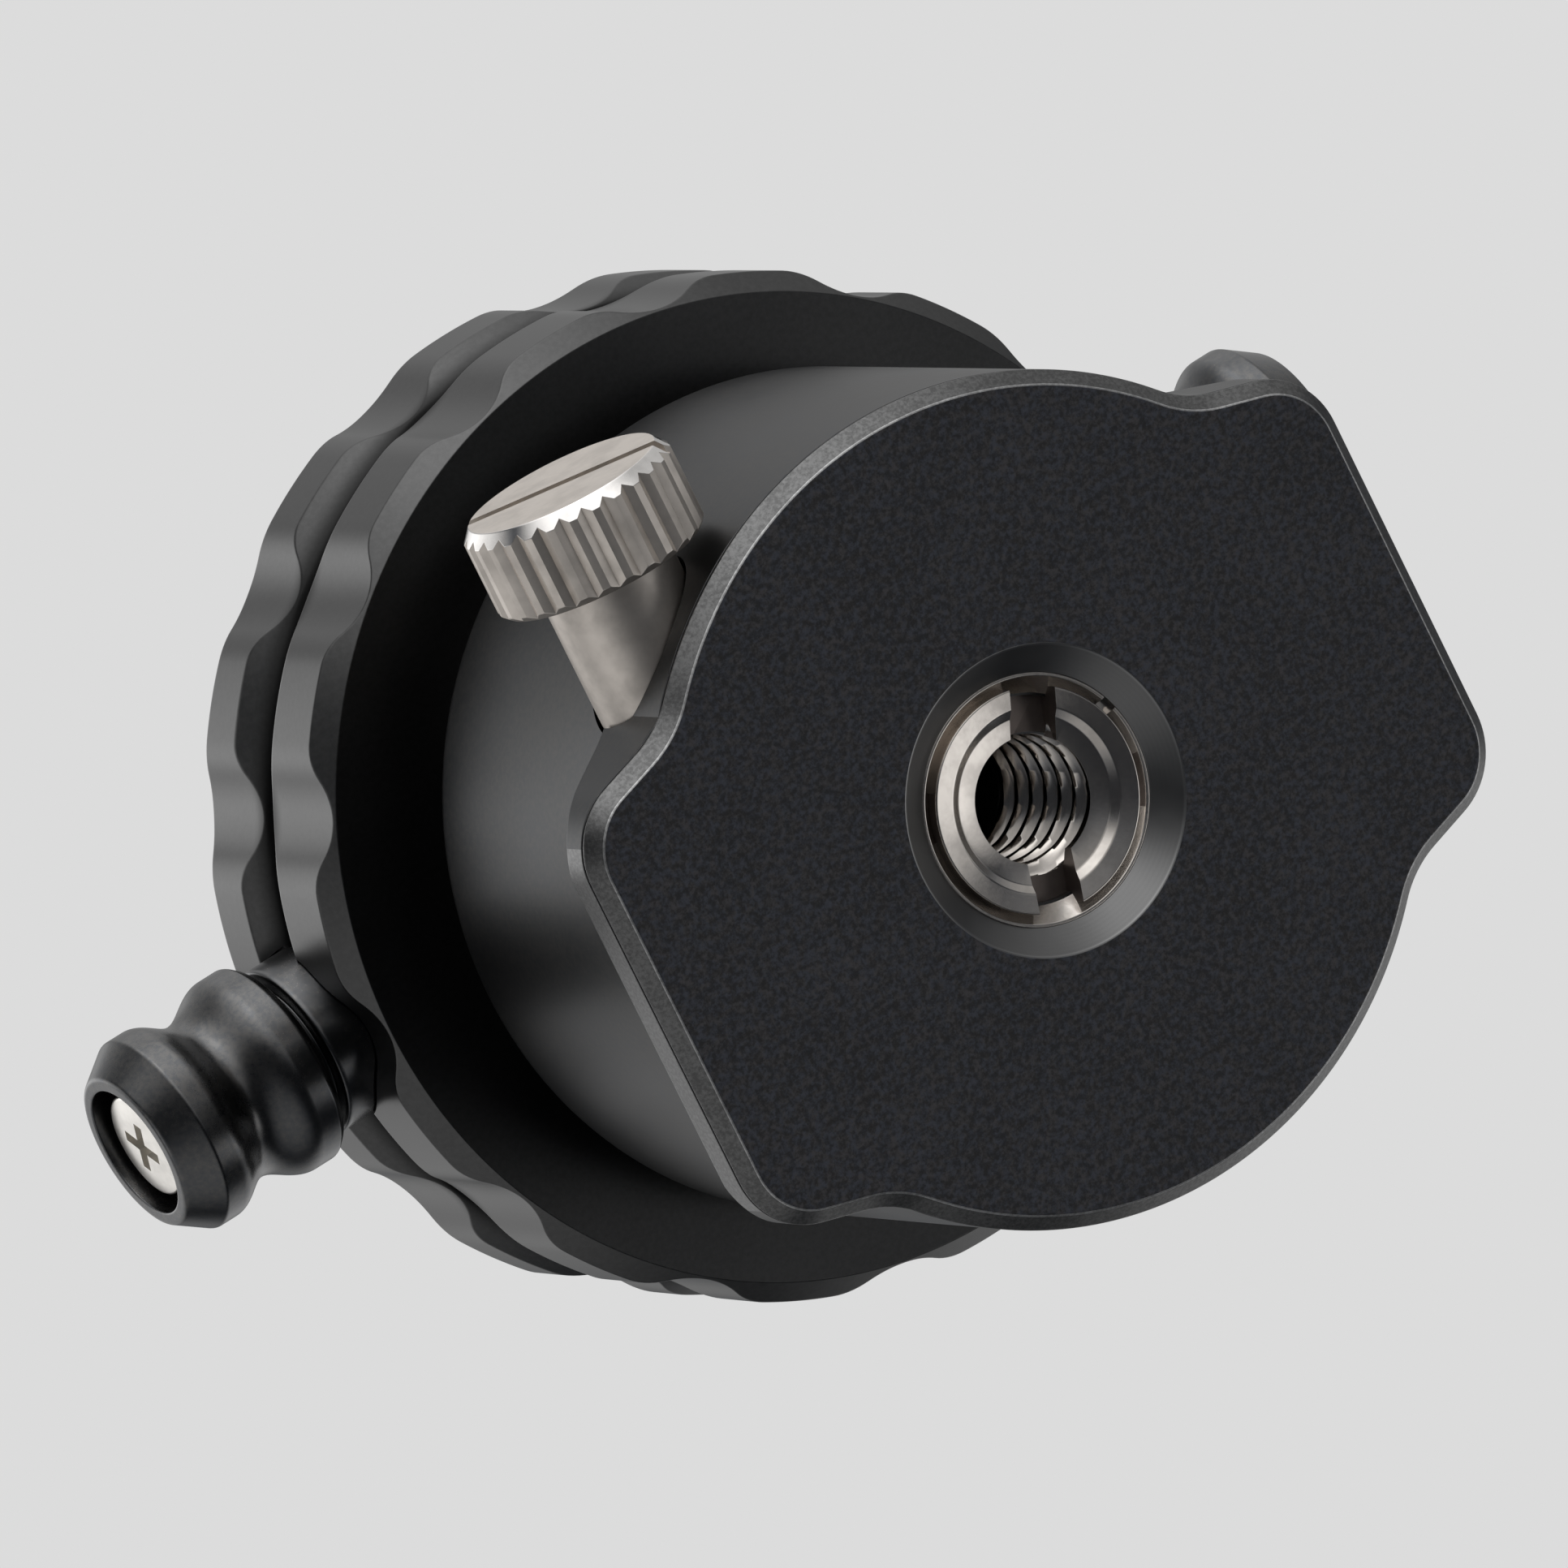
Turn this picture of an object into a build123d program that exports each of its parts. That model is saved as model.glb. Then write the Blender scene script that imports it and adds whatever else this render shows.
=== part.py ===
"""Compact tripod ball head with a two-lever lock ring and a panning base.

Frame: millimetres. Z is the panning axis and points from the base plate's
outer face, at z = 0, to the camera platform. X points across the two flats of
the base plate, Y runs along them.
"""

from build123d import *

import os
from math import radians, sqrt, tan

os.makedirs("parts", exist_ok=True)

# ----------------------------------------------------------- the size of it
ball_radius = 12.5            # sets the housing, the ring and the plate round it
bushing_radius = 4.76         # 3/8 inch thread outside; sets the hub round it

# ------------------------------------------------------------------ fits
fixed_fit = 0.02              # radial, pieces that are pressed or screwed home
shaft_fit = 0.08              # radial, journals and slides
turn_clearance = 0.15         # radial, large turning pieces
face_gap = 0.05               # between faces that turn on each other
seat_clearance = 0.2          # between the ball and both seats

# --------------------------------------------------------- ball, seats, rotor
seat_room = 0.45              # bore of the rotor beyond the ball
seat_step = 1.0               # wider bore for the upper seat
rotor_wall = 1.25             # rotor's wall round the upper seat
rotor_floor_thickness = 3.2
rotor_edge_break = 0.4
ball_gap = 1.0                # between the hub and the ball
shelf_room = 2.5              # lower seat's underside above the hub
lower_seat_height = 4.6
lower_seat_land = 4.2         # width of the lower seat, inwards from the ball's side
upper_seat_rise = 1.8         # upper seat's underside above the ball's centre
upper_seat_height = 2.9
upper_seat_room = 0.2         # room under the upper seat
upper_seat_proud = 0.1        # upper seat above the rotor's rim
spring_height = 1.05
spring_thickness = 0.6
spring_width = 2.95           # inwards from the rotor's bore
key_count = 3                 # tabs that stop the upper seat turning
key_width = 2.6
key_reach = 0.65
key_height = 1.6
key_clearance = 0.15
seal_drop = 2.1               # felt ring that keeps dust out, below the housing's rim
seal_height = 1.1
seal_depth = 0.9

# ------------------------------------------------------------------- housing
housing_wall = 1.9            # round the rotor
neck_rise = 4.2               # housing's rim above the hub
housing_edge_break = 0.2
ear_edge = 0.95               # straight edge of the ears above the plate
cone_reach = 1.25             # turned back of the ears starts this far beyond the flats
hub_wall = 1.44               # round the bushing
hub_edge_break = 0.4
dowel_radius = 1.2
dowel_inset = 4.4             # from the plate's round edge
dowel_length = 3.8
dowel_sink = 0.85             # depth in the base plate
dowel_count = 3
dowel_start = -45.0           # the pins stand 90 degrees apart, clear of the lock
dowel_spread = 180.0

# ---------------------------------------------------------------- base plate
plate_step = 0.35             # plate's round part inside the housing's wall
wing_reach = 2.1              # flats of the wings beyond the round part
plate_thickness = 1.35
plate_edge_break = 0.3        # chamfer round the outer face
wing_tip_half = 8.93          # half height of a wing at its flat, before rounding
wing_slope = 16.0             # degrees by which a wing narrows towards its flat
wing_corner_radius = 3.3
wing_blend_radius = 4.7       # hollow between a wing and the round part
socket_room = 0.29            # bottom of the polished cone, round the bushing
countersink_flare = 1.27      # mouth of the polished cone beyond its bottom
bushing_recess = 0.8          # bushing's face below the plate's face

# --------------------------------------------------------- reducer bushing
bushing_bore_radius = 2.6     # 1/4 inch thread inside, at its crests
bushing_length = 8.8
bushing_slot_width = 1.9
bushing_slot_depth = 1.3
bushing_slot_angle = 109.0    # from X, seen from above
bushing_edge_break = 0.4
bushing_mouth = 0.7           # chamfer at both ends of the bore
bushing_relief = 0.4          # room behind the bushing

# -------------------------------------------------- pan lock: thumb screw
lock_offset = 5.9             # lock's axis, along Y beside the hub, beyond the bushing
lock_floor = 0.55             # metal between the lock's bore and the plate
lock_roof = 1.6               # metal between the lock's bore and the rotor's well
screw_radius = 2.84
screw_clearance = 0.16
screw_tip_break = 0.5
head_radius = 4.56
head_inset = 0.75             # head's inner face inside the housing's widest line
head_height = 3.95
head_face_radius = 4.12
head_chamfer = 0.55           # length of the polished chamfer along the screw
head_under_break = 0.3
flute_count = 28
flute_width = 0.68
flute_depth = 0.22
head_slot_width = 0.55
head_slot_depth = 0.6
head_slot_angle = 36.0
contact_gap = 0.1             # screw to shoe, and shoe to plunger
shoe_straight = 1.86          # shoe's length behind its wedge
wedge_y = -3.2                # Y of the plunger's axis
bore_relief = 0.5             # room behind the shoe's nose
plunger_radius = 1.6
pad_thickness = 0.9
pad_gap = 0.35                # pad below the rotor while the lock is open

# ------------------------------------------------- thrust washers and hub nut
washer_thickness = 0.45
washer_width = 3.1            # both washers, beyond the hub
hub_nut_width = 2.8           # nut, beyond the hub
hub_nut_thickness = 1.7
hub_nut_slots = 4
hub_nut_slot_width = 1.8
hub_nut_slot_depth = 1.2
hub_end = 0.4                 # hub above the nut
well_room = 0.9               # rotor's well round the nut

# --------------------------------------------------------------- lock ring
ring_face_width = 4.95        # flat face towards the housing
ring_face_rise = 0.85         # from that face's edge to the crests
ring_chamfer = 0.9            # length along Z of the cone behind each flat face
front_band = 3.5              # straight band of the front tier
groove_flank = 1.8            # length along Z of each flank of the groove
groove_depth = 1.0            # below the crests
back_band = 2.7
scallop_count = 14
scallop_radius = 4.2
scallop_depth = 0.75
scallop_blend = 2.8
lip_gap = 0.15                # lip above the upper seat
lip_reach = 3.25              # lip inside the ring's bore
collar_height = 0.9           # collar above the back face
collar_wall = 1.25            # round the ring's bore
collar_edge_break = 0.35
lever_seat_fit = 0.1          # radial room in the spot face under a lever
lever_seat_depth = 1.05       # below the crests

# ------------------------------------------------------------------ levers
collar_end = 2.3              # collar's length from the lever's seat
neck_length = 0.65
first_rise = 1.3              # grip's start to the crest of its first swell
swell_spacing = 4.3           # between the crests of the two swells
second_fall = 0.7             # second crest to the grip's end
tip_cone = 1.05               # length of the cone at the tip
lever_crest_radius = 4.4
collar_drop = 0.6             # the rest in from the crests, radially
neck_drop = 1.3
start_drop = 0.65
waist_drop = 0.74
end_drop = 0.2
tip_drop = 1.0
lever_screw_head_radius = 2.3
lever_screw_room = 0.55       # lever's bore round the screw's head
lever_screw_recess = 0.42     # screw's face below the lever's tip
lever_screw_head_height = 1.3
lever_screw_radius = 1.45
lever_screw_clearance = 0.12
lever_screw_stop = 0.75       # screw's end short of the ring's bore
cross_depth = 0.8
cross_width = 0.62
cross_span = 2.9

# ------------------------------------------------- stem, platform and stud
ball_flat_drop = 1.2          # flat on the ball, below its top
spigot_step = 1.05            # stem's shoulder round its spigot
spigot_length = 6.0
spigot_relief = 0.3
stem_radius = 5.0
stem_length = 3.35
stem_flare = 1.4              # wider foot under the platform
stem_flare_height = 1.1
platform_thickness = 2.6
platform_radius = 14.5
platform_under_chamfer = 1.1
platform_edge_break = 0.35
pad_recess = 0.6
pad_proud = 0.6
platform_rim = 1.2            # rim of metal round the pad
pad_eye_room = 1.3            # eye of the pad round the stud
stud_radius = 3.1
stud_shoulder = 0.7           # stud's shank inside its thread
stud_grip = 2.6               # length of the shank in the stem
stud_reach = 4.6              # above the pad
stud_tip_break = 0.5

# --------------------------------------------------- worked out: across Z
seat_bore_radius = ball_radius + seat_room
upper_bore_radius = seat_bore_radius + seat_step
rotor_radius = upper_bore_radius + rotor_wall
ring_bore_radius = rotor_radius + turn_clearance
housing_radius = ring_bore_radius + housing_wall
plate_radius = housing_radius - plate_step
plate_half = plate_radius + wing_reach
plate_width = 2 * plate_half
cone_foot_radius = plate_half + cone_reach
dowel_circle_radius = plate_radius - dowel_inset
socket_radius = bushing_radius + socket_room
countersink_radius = socket_radius + countersink_flare
hub_radius = bushing_radius + hub_wall
washer_radius = hub_radius + washer_width
hub_nut_radius = hub_radius + hub_nut_width
well_radius = hub_nut_radius + well_room
spring_bore = seat_bore_radius - spring_width
lower_seat_bore = ball_radius - lower_seat_land
sphere_seat_radius = ball_radius + seat_clearance
ring_face_radius = ring_bore_radius + ring_face_width
ring_crest_radius = ring_face_radius + ring_face_rise
groove_radius = ring_crest_radius - groove_depth
lip_radius = ring_bore_radius - lip_reach
collar_radius = ring_bore_radius + collar_wall
lever_seat = ring_crest_radius - lever_seat_depth

# ---------------------------------------------------- worked out: along Z
cone_foot = plate_thickness + ear_edge
lock_bore_radius = screw_radius + screw_clearance
lock_z = plate_thickness + lock_floor + lock_bore_radius
housing_floor = lock_z + lock_bore_radius + lock_roof
bushing_top = bushing_recess + bushing_length
dowel_foot = plate_thickness - dowel_sink
rotor_bottom = housing_floor + washer_thickness + face_gap
rotor_floor_top = rotor_bottom + rotor_floor_thickness
upper_washer_bottom = rotor_floor_top + face_gap
hub_nut_bottom = upper_washer_bottom + washer_thickness
hub_top = hub_nut_bottom + hub_nut_thickness + hub_end
housing_top = hub_top + neck_rise
ball_height = hub_top + ball_gap + ball_radius
lower_seat_bottom = hub_top + shelf_room
spring_shelf = lower_seat_bottom - face_gap - spring_height
upper_seat_bottom = ball_height + upper_seat_rise
upper_seat_top = upper_seat_bottom + upper_seat_height
upper_bore_bottom = upper_seat_bottom - upper_seat_room
rotor_top = upper_seat_top - upper_seat_proud
seal_bottom = housing_top - seal_drop
lip_under = upper_seat_top + lip_gap
ring_height = 2 * ring_chamfer + front_band + 2 * groove_flank + back_band
ring_middle = ball_height
ring_front = ring_middle - ring_height / 2
front_band_start = ring_front + ring_chamfer
front_band_end = front_band_start + front_band
groove_z = front_band_end + groove_flank
back_band_start = groove_z + groove_flank
back_band_end = back_band_start + back_band
ring_back = back_band_end + ring_chamfer
collar_top = ring_back + collar_height
flat_z = ball_height + ball_radius - ball_flat_drop
stem_bottom = flat_z + face_gap
stem_top = stem_bottom + stem_length
platform_top = stem_top + platform_thickness
pad_bottom = platform_top - pad_recess
pad_top_face = platform_top + pad_proud
stud_bottom = stem_top - stud_grip
stud_top = pad_top_face + stud_reach

# ---------------------------------- worked out: lock, levers, stem and stud
lock_x = -bushing_radius - lock_offset
head_seat = head_inset - housing_radius
head_face = head_seat - head_height
screw_tip = wedge_y - screw_radius - shoe_straight - contact_gap
pad_top = rotor_bottom - pad_gap
plunger_top = pad_top - pad_thickness
grip_start = collar_end + neck_length
inner_crest = grip_start + first_rise
outer_crest = inner_crest + swell_spacing
grip_end = outer_crest + second_fall
lever_collar_radius = lever_crest_radius - collar_drop
lever_neck_radius = lever_crest_radius - neck_drop
grip_start_radius = lever_crest_radius - start_drop
lever_waist_radius = lever_crest_radius - waist_drop
grip_end_radius = lever_crest_radius - end_drop
lever_tip_radius = lever_crest_radius - tip_drop
# The grip is three arcs that touch: a swell, the hollow waist, a swell.
first_swell = (first_rise ** 2 + start_drop ** 2) / (2 * start_drop)
second_swell = (second_fall ** 2 + end_drop ** 2) / (2 * end_drop)
waist_lead = waist_drop * (first_swell - second_swell) / swell_spacing
waist_run = swell_spacing / 2 + waist_lead
waist_hollow = (waist_run ** 2 / waist_drop + waist_drop) / 2 - first_swell
waist = inner_crest + waist_run
first_touch = first_swell / (first_swell + waist_hollow)
second_touch = second_swell / (second_swell + waist_hollow)
first_centre = lever_crest_radius - first_swell
second_centre = lever_crest_radius - second_swell
waist_centre = lever_waist_radius + waist_hollow
lever_length = grip_end + tip_cone
lever_tip = lever_seat + lever_length
lever_screw_face = lever_tip - lever_screw_recess
lever_screw_under = lever_screw_face - lever_screw_head_height
lever_screw_end = ring_bore_radius + lever_screw_stop
lever_screw_hole = lever_screw_radius + lever_screw_clearance
lever_bore_radius = lever_screw_head_radius + lever_screw_room
spigot_radius = stem_radius - spigot_step
pad_radius = platform_radius - platform_rim
pad_eye_radius = stud_radius + pad_eye_room
stud_shank_radius = stud_radius - stud_shoulder
shank_hole = stud_shank_radius + fixed_fit


def write(piece, name):
    """Label a finished piece and write its own file."""
    piece.part.label = name
    export_step(piece.part, f"parts/{name}.step")


def across_lock(y):
    """Plane square to the thumb screw at this Y, with its normal inwards."""
    return Plane(origin=(lock_x, y, lock_z), x_dir=(1, 0, 0), z_dir=(0, 1, 0))


def across_lever(distance, side):
    """Plane square to a lever at this distance from the axis, facing out."""
    return Plane(origin=(side * distance, 0, ring_middle), x_dir=(0, 1, 0), z_dir=(side, 0, 0))


# Round plate with two tapering wings, flats at +X and -X.
wing_root = plate_radius / 2
wing_root_half = wing_tip_half + (plate_half - wing_root) * tan(radians(wing_slope))
with BuildSketch() as plate_outline:
    Circle(plate_radius)
    Polygon(
        (plate_half, wing_tip_half), (wing_root, wing_root_half),
        (-wing_root, wing_root_half), (-plate_half, wing_tip_half),
        (-plate_half, -wing_tip_half), (-wing_root, -wing_root_half),
        (wing_root, -wing_root_half), (plate_half, -wing_tip_half),
        align=None,
    )
    corners = plate_outline.vertices()
    tips = [corner for corner in corners if abs(corner.X) > plate_half - fixed_fit]
    fillet(tips, wing_corner_radius)
    corners = plate_outline.vertices()
    hollows = [corner for corner in corners
               if abs(sqrt(corner.X ** 2 + corner.Y ** 2) - plate_radius) < fixed_fit]
    fillet(hollows, wing_blend_radius)

# ---------------------------------------------------------------- base plate
with BuildPart() as base_plate:
    add(plate_outline.sketch)
    extrude(amount=plate_thickness)
    chamfer(base_plate.faces().sort_by(Axis.Z)[0].edges(), plate_edge_break)
    with BuildSketch(Plane.XZ):
        Polygon(
            (0, 0), (countersink_radius, 0), (socket_radius, bushing_recess),
            (socket_radius, plate_thickness), (0, plate_thickness), align=None,
        )
    revolve(axis=Axis.Z, mode=Mode.SUBTRACT)
    with BuildSketch(Plane.XY.offset(dowel_foot)):
        with PolarLocations(dowel_circle_radius, dowel_count, dowel_start, dowel_spread,
                            endpoint=True):
            Circle(dowel_radius + fixed_fit)
    extrude(amount=dowel_sink, mode=Mode.SUBTRACT)
write(base_plate, "base_plate")

# -------------------------------------------------------------- dowel pins
with BuildPart() as base_dowels:
    with BuildSketch(Plane.XY.offset(dowel_foot)):
        with PolarLocations(dowel_circle_radius, dowel_count, dowel_start, dowel_spread,
                            endpoint=True):
            Circle(dowel_radius)
    extrude(amount=dowel_length)
write(base_dowels, "base_dowels")

# ------------------------------------------------------------------ housing
# The ears carry on from the wings, cut back at 45 degrees by the clamp's
# dovetail on the flats and by the turned cone elsewhere.
with BuildPart() as housing:
    with BuildSketch(Plane.XY.offset(plate_thickness)):
        add(plate_outline.sketch)
    extrude(amount=housing_floor - plate_thickness)
    with BuildSketch(Plane.XZ):
        Polygon(
            (0, 0), (cone_foot_radius, 0), (cone_foot_radius, cone_foot),
            (0, cone_foot + cone_foot_radius), align=None,
        )
    revolve(axis=Axis.Z, mode=Mode.INTERSECT)
    with BuildSketch(Plane.XZ):
        Polygon(
            (plate_half, 0), (plate_half, cone_foot), (0, cone_foot + plate_half),
            (-plate_half, cone_foot), (-plate_half, 0), align=None,
        )
    extrude(amount=plate_width, both=True, mode=Mode.INTERSECT)
    with BuildSketch(Plane.XY.offset(plate_thickness)):
        Circle(housing_radius)
    extrude(amount=housing_top - plate_thickness)
    rims = housing.edges().filter_by(GeomType.CIRCLE)
    chamfer([rim for rim in rims if abs(rim.center().Z - housing_top) < fixed_fit],
            housing_edge_break)
    with BuildSketch(Plane.XY.offset(housing_floor)):
        Circle(rotor_radius + turn_clearance)
        Circle(hub_radius, mode=Mode.SUBTRACT)
    extrude(amount=housing_top - housing_floor, mode=Mode.SUBTRACT)
    with BuildSketch(Plane.XY.offset(hub_top)):
        Circle(rotor_radius)
    extrude(amount=housing_top - hub_top, mode=Mode.SUBTRACT)
    hub_rims = housing.edges().filter_by(GeomType.CIRCLE)
    chamfer([rim for rim in hub_rims if abs(rim.center().Z - hub_top) < fixed_fit],
            hub_edge_break)
    with BuildSketch(Plane.XY.offset(plate_thickness)):
        Circle(bushing_radius + fixed_fit)
    extrude(amount=bushing_top + bushing_relief - plate_thickness, mode=Mode.SUBTRACT)
    with BuildSketch(Plane.XY.offset(plate_thickness)):
        with PolarLocations(dowel_circle_radius, dowel_count, dowel_start, dowel_spread,
                            endpoint=True):
            Circle(dowel_radius + fixed_fit)
    extrude(amount=dowel_length - dowel_sink + fixed_fit, mode=Mode.SUBTRACT)
    with BuildSketch(across_lock(-plate_half)):
        Circle(lock_bore_radius)
    extrude(amount=plate_half + wedge_y + lock_bore_radius + bore_relief, mode=Mode.SUBTRACT)
    with BuildSketch(Plane.XY.offset(lock_z)):
        with Locations((lock_x, wedge_y)):
            Circle(plunger_radius + shaft_fit)
    extrude(amount=housing_floor - lock_z, mode=Mode.SUBTRACT)
write(housing, "housing")

# --------------------------------------------------------- reducer bushing
with BuildPart() as reducer_bushing:
    with BuildSketch(Plane.XY.offset(bushing_recess)):
        Circle(bushing_radius)
        Circle(bushing_bore_radius, mode=Mode.SUBTRACT)
    extrude(amount=bushing_length)
    rims = reducer_bushing.edges().filter_by(GeomType.CIRCLE)
    chamfer(rims.filter_by(lambda rim: rim.radius > bushing_bore_radius + bushing_mouth),
            bushing_edge_break)
    rims = reducer_bushing.edges().filter_by(GeomType.CIRCLE)
    chamfer(rims.filter_by(lambda rim: rim.radius < bushing_bore_radius + fixed_fit),
            bushing_mouth)
    with BuildSketch(Plane.XY.offset(bushing_recess)):
        Rectangle(3 * bushing_radius, bushing_slot_width, rotation=bushing_slot_angle)
    extrude(amount=bushing_slot_depth, mode=Mode.SUBTRACT)
write(reducer_bushing, "reducer_bushing")

# ------------------------------------------------------------ thumb screw
with BuildPart() as thumb_screw:
    with BuildSketch(Plane(origin=(lock_x, 0, lock_z), x_dir=(1, 0, 0), z_dir=(0, 0, 1))):
        Polygon(
            (0, head_face), (head_face_radius, head_face),
            (head_radius, head_face + head_chamfer), (head_radius, head_seat - head_under_break),
            (head_radius - head_under_break, head_seat), (screw_radius, head_seat),
            (screw_radius, screw_tip - screw_tip_break),
            (screw_radius - screw_tip_break, screw_tip), (0, screw_tip), align=None,
        )
    revolve(axis=Axis((lock_x, 0, lock_z), (0, 1, 0)))
    with BuildSketch(across_lock(head_face)):
        with PolarLocations(head_radius, flute_count):
            Polygon((-flute_depth, 0), (0, -flute_width / 2), (flute_depth, 0), (0, flute_width / 2),
                    align=None)
    extrude(amount=head_height, mode=Mode.SUBTRACT)
    with BuildSketch(across_lock(head_face)):
        Rectangle(3 * head_radius, head_slot_width, rotation=head_slot_angle)
    extrude(amount=head_slot_depth, mode=Mode.SUBTRACT)
write(thumb_screw, "thumb_screw")

# ------------------------------------- wedge shoe, plunger and friction pad
with BuildPart() as brake_shoe:
    with BuildSketch(across_lock(screw_tip + contact_gap)):
        Circle(screw_radius)
    extrude(amount=wedge_y + screw_radius - screw_tip)
    split(bisect_by=Plane(origin=(lock_x, wedge_y, lock_z), z_dir=(0, 1, 1)), keep=Keep.BOTTOM)
write(brake_shoe, "brake_shoe")

with BuildPart() as brake_plunger:
    with BuildSketch(Plane.XY.offset(lock_z - plunger_radius)):
        with Locations((lock_x, wedge_y)):
            Circle(plunger_radius)
    extrude(amount=plunger_top - lock_z + plunger_radius)
    split(bisect_by=Plane(origin=(lock_x, wedge_y, lock_z), z_dir=(0, 1, 1)).offset(contact_gap),
          keep=Keep.TOP)
write(brake_plunger, "brake_plunger")

with BuildPart() as brake_pad:
    with BuildSketch(Plane.XY.offset(plunger_top)):
        with Locations((lock_x, wedge_y)):
            Circle(plunger_radius)
    extrude(amount=pad_thickness)
write(brake_pad, "brake_pad")

# ---------------------------------------------------------- thrust washers
with BuildPart() as lower_thrust_washer:
    with BuildSketch(Plane.XY.offset(housing_floor)):
        Circle(washer_radius)
        Circle(hub_radius + shaft_fit, mode=Mode.SUBTRACT)
    extrude(amount=washer_thickness)
write(lower_thrust_washer, "lower_thrust_washer")

with BuildPart() as upper_thrust_washer:
    with BuildSketch(Plane.XY.offset(upper_washer_bottom)):
        Circle(washer_radius)
        Circle(hub_radius + shaft_fit, mode=Mode.SUBTRACT)
    extrude(amount=washer_thickness)
write(upper_thrust_washer, "upper_thrust_washer")

with BuildPart() as hub_nut:
    with BuildSketch(Plane.XY.offset(hub_nut_bottom)):
        Circle(hub_nut_radius)
        Circle(hub_radius + fixed_fit, mode=Mode.SUBTRACT)
        with PolarLocations(hub_nut_radius, hub_nut_slots):
            Rectangle(2 * hub_nut_slot_depth, hub_nut_slot_width, mode=Mode.SUBTRACT)
    extrude(amount=hub_nut_thickness)
write(hub_nut, "hub_nut")

# --------------------------------------------------------------- pan rotor
with BuildPart() as pan_rotor:
    with BuildSketch(Plane.XZ):
        Polygon(
            (hub_radius + shaft_fit, rotor_bottom), (rotor_radius - rotor_edge_break, rotor_bottom),
            (rotor_radius, rotor_bottom + rotor_edge_break), (rotor_radius, rotor_top),
            (upper_bore_radius, rotor_top), (upper_bore_radius, upper_bore_bottom),
            (seat_bore_radius, upper_bore_bottom), (seat_bore_radius, spring_shelf),
            (well_radius, spring_shelf), (well_radius, rotor_floor_top),
            (hub_radius + shaft_fit, rotor_floor_top), align=None,
        )
    revolve(axis=Axis.Z)
    with BuildSketch(Plane.XY.offset(seal_bottom)):
        Circle(housing_radius)
        Circle(rotor_radius - seal_depth, mode=Mode.SUBTRACT)
    extrude(amount=seal_height, mode=Mode.SUBTRACT)
    with BuildSketch(Plane.XY.offset(upper_bore_bottom)):
        with PolarLocations(upper_bore_radius, key_count):
            Rectangle(2 * (key_reach + key_clearance), key_width + 2 * key_clearance)
    extrude(amount=rotor_top - upper_bore_bottom, mode=Mode.SUBTRACT)
write(pan_rotor, "pan_rotor")

with BuildPart() as dust_seal:
    with BuildSketch(Plane.XY.offset(seal_bottom)):
        Circle(rotor_radius + turn_clearance / 3)
        Circle(rotor_radius - seal_depth, mode=Mode.SUBTRACT)
    extrude(amount=seal_height)
write(dust_seal, "dust_seal")

with BuildPart() as disc_spring:
    with BuildSketch(Plane.XZ):
        Polygon(
            (spring_bore, spring_shelf + spring_height - spring_thickness),
            (seat_bore_radius - turn_clearance, spring_shelf),
            (seat_bore_radius - turn_clearance, spring_shelf + spring_thickness),
            (spring_bore, spring_shelf + spring_height), align=None,
        )
    revolve(axis=Axis.Z)
write(disc_spring, "disc_spring")

# ------------------------------------------------------------- ball seats
with BuildPart() as lower_seat:
    with BuildSketch(Plane.XY.offset(lower_seat_bottom)):
        Circle(seat_bore_radius - shaft_fit)
        Circle(lower_seat_bore, mode=Mode.SUBTRACT)
    extrude(amount=lower_seat_height)
    with Locations((0, 0, ball_height)):
        Sphere(sphere_seat_radius, mode=Mode.SUBTRACT)
write(lower_seat, "lower_seat")

with BuildPart() as upper_seat:
    with BuildSketch(Plane.XY.offset(upper_seat_bottom)):
        Circle(upper_bore_radius - shaft_fit)
    extrude(amount=upper_seat_top - upper_seat_bottom)
    with BuildSketch(Plane.XY.offset(upper_seat_bottom)):
        with PolarLocations(upper_bore_radius, key_count):
            Rectangle(2 * key_reach, key_width)
    extrude(amount=key_height)
    with Locations((0, 0, ball_height)):
        Sphere(sphere_seat_radius, mode=Mode.SUBTRACT)
write(upper_seat, "upper_seat")

# ---------------------------------------------------------------- lock ring
scallop_centre = ring_crest_radius - scallop_depth + scallop_radius
with BuildPart() as lock_ring:
    with BuildSketch(Plane.XY.offset(ring_front)) as ring_outline:
        Circle(ring_crest_radius)
        with PolarLocations(scallop_centre, scallop_count):
            Circle(scallop_radius, mode=Mode.SUBTRACT)
        fillet(ring_outline.vertices(), scallop_blend)
    extrude(amount=collar_top - ring_front)
    with BuildSketch(Plane.XZ):
        Polygon(
            (ring_bore_radius, ring_front), (ring_face_radius, ring_front),
            (ring_crest_radius, front_band_start), (ring_crest_radius, front_band_end),
            (groove_radius, groove_z),
            (ring_crest_radius, back_band_start), (ring_crest_radius, back_band_end),
            (ring_face_radius, ring_back), (collar_radius, ring_back),
            (collar_radius, collar_top - collar_edge_break),
            (collar_radius - collar_edge_break, collar_top),
            (lip_radius + collar_edge_break, collar_top),
            (lip_radius, collar_top - collar_edge_break), (lip_radius, lip_under),
            (ring_bore_radius, lip_under), align=None,
        )
    revolve(axis=Axis.Z, mode=Mode.INTERSECT)
    for side in (1, -1):
        with BuildSketch(across_lever(lever_seat, side)):
            Circle(lever_collar_radius + lever_seat_fit)
        extrude(amount=lever_length, mode=Mode.SUBTRACT)
        with BuildSketch(across_lever(lever_seat, side)):
            Circle(lever_screw_radius + fixed_fit)
        extrude(amount=lip_radius - lever_seat, mode=Mode.SUBTRACT)
write(lock_ring, "lock_ring")

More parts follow.
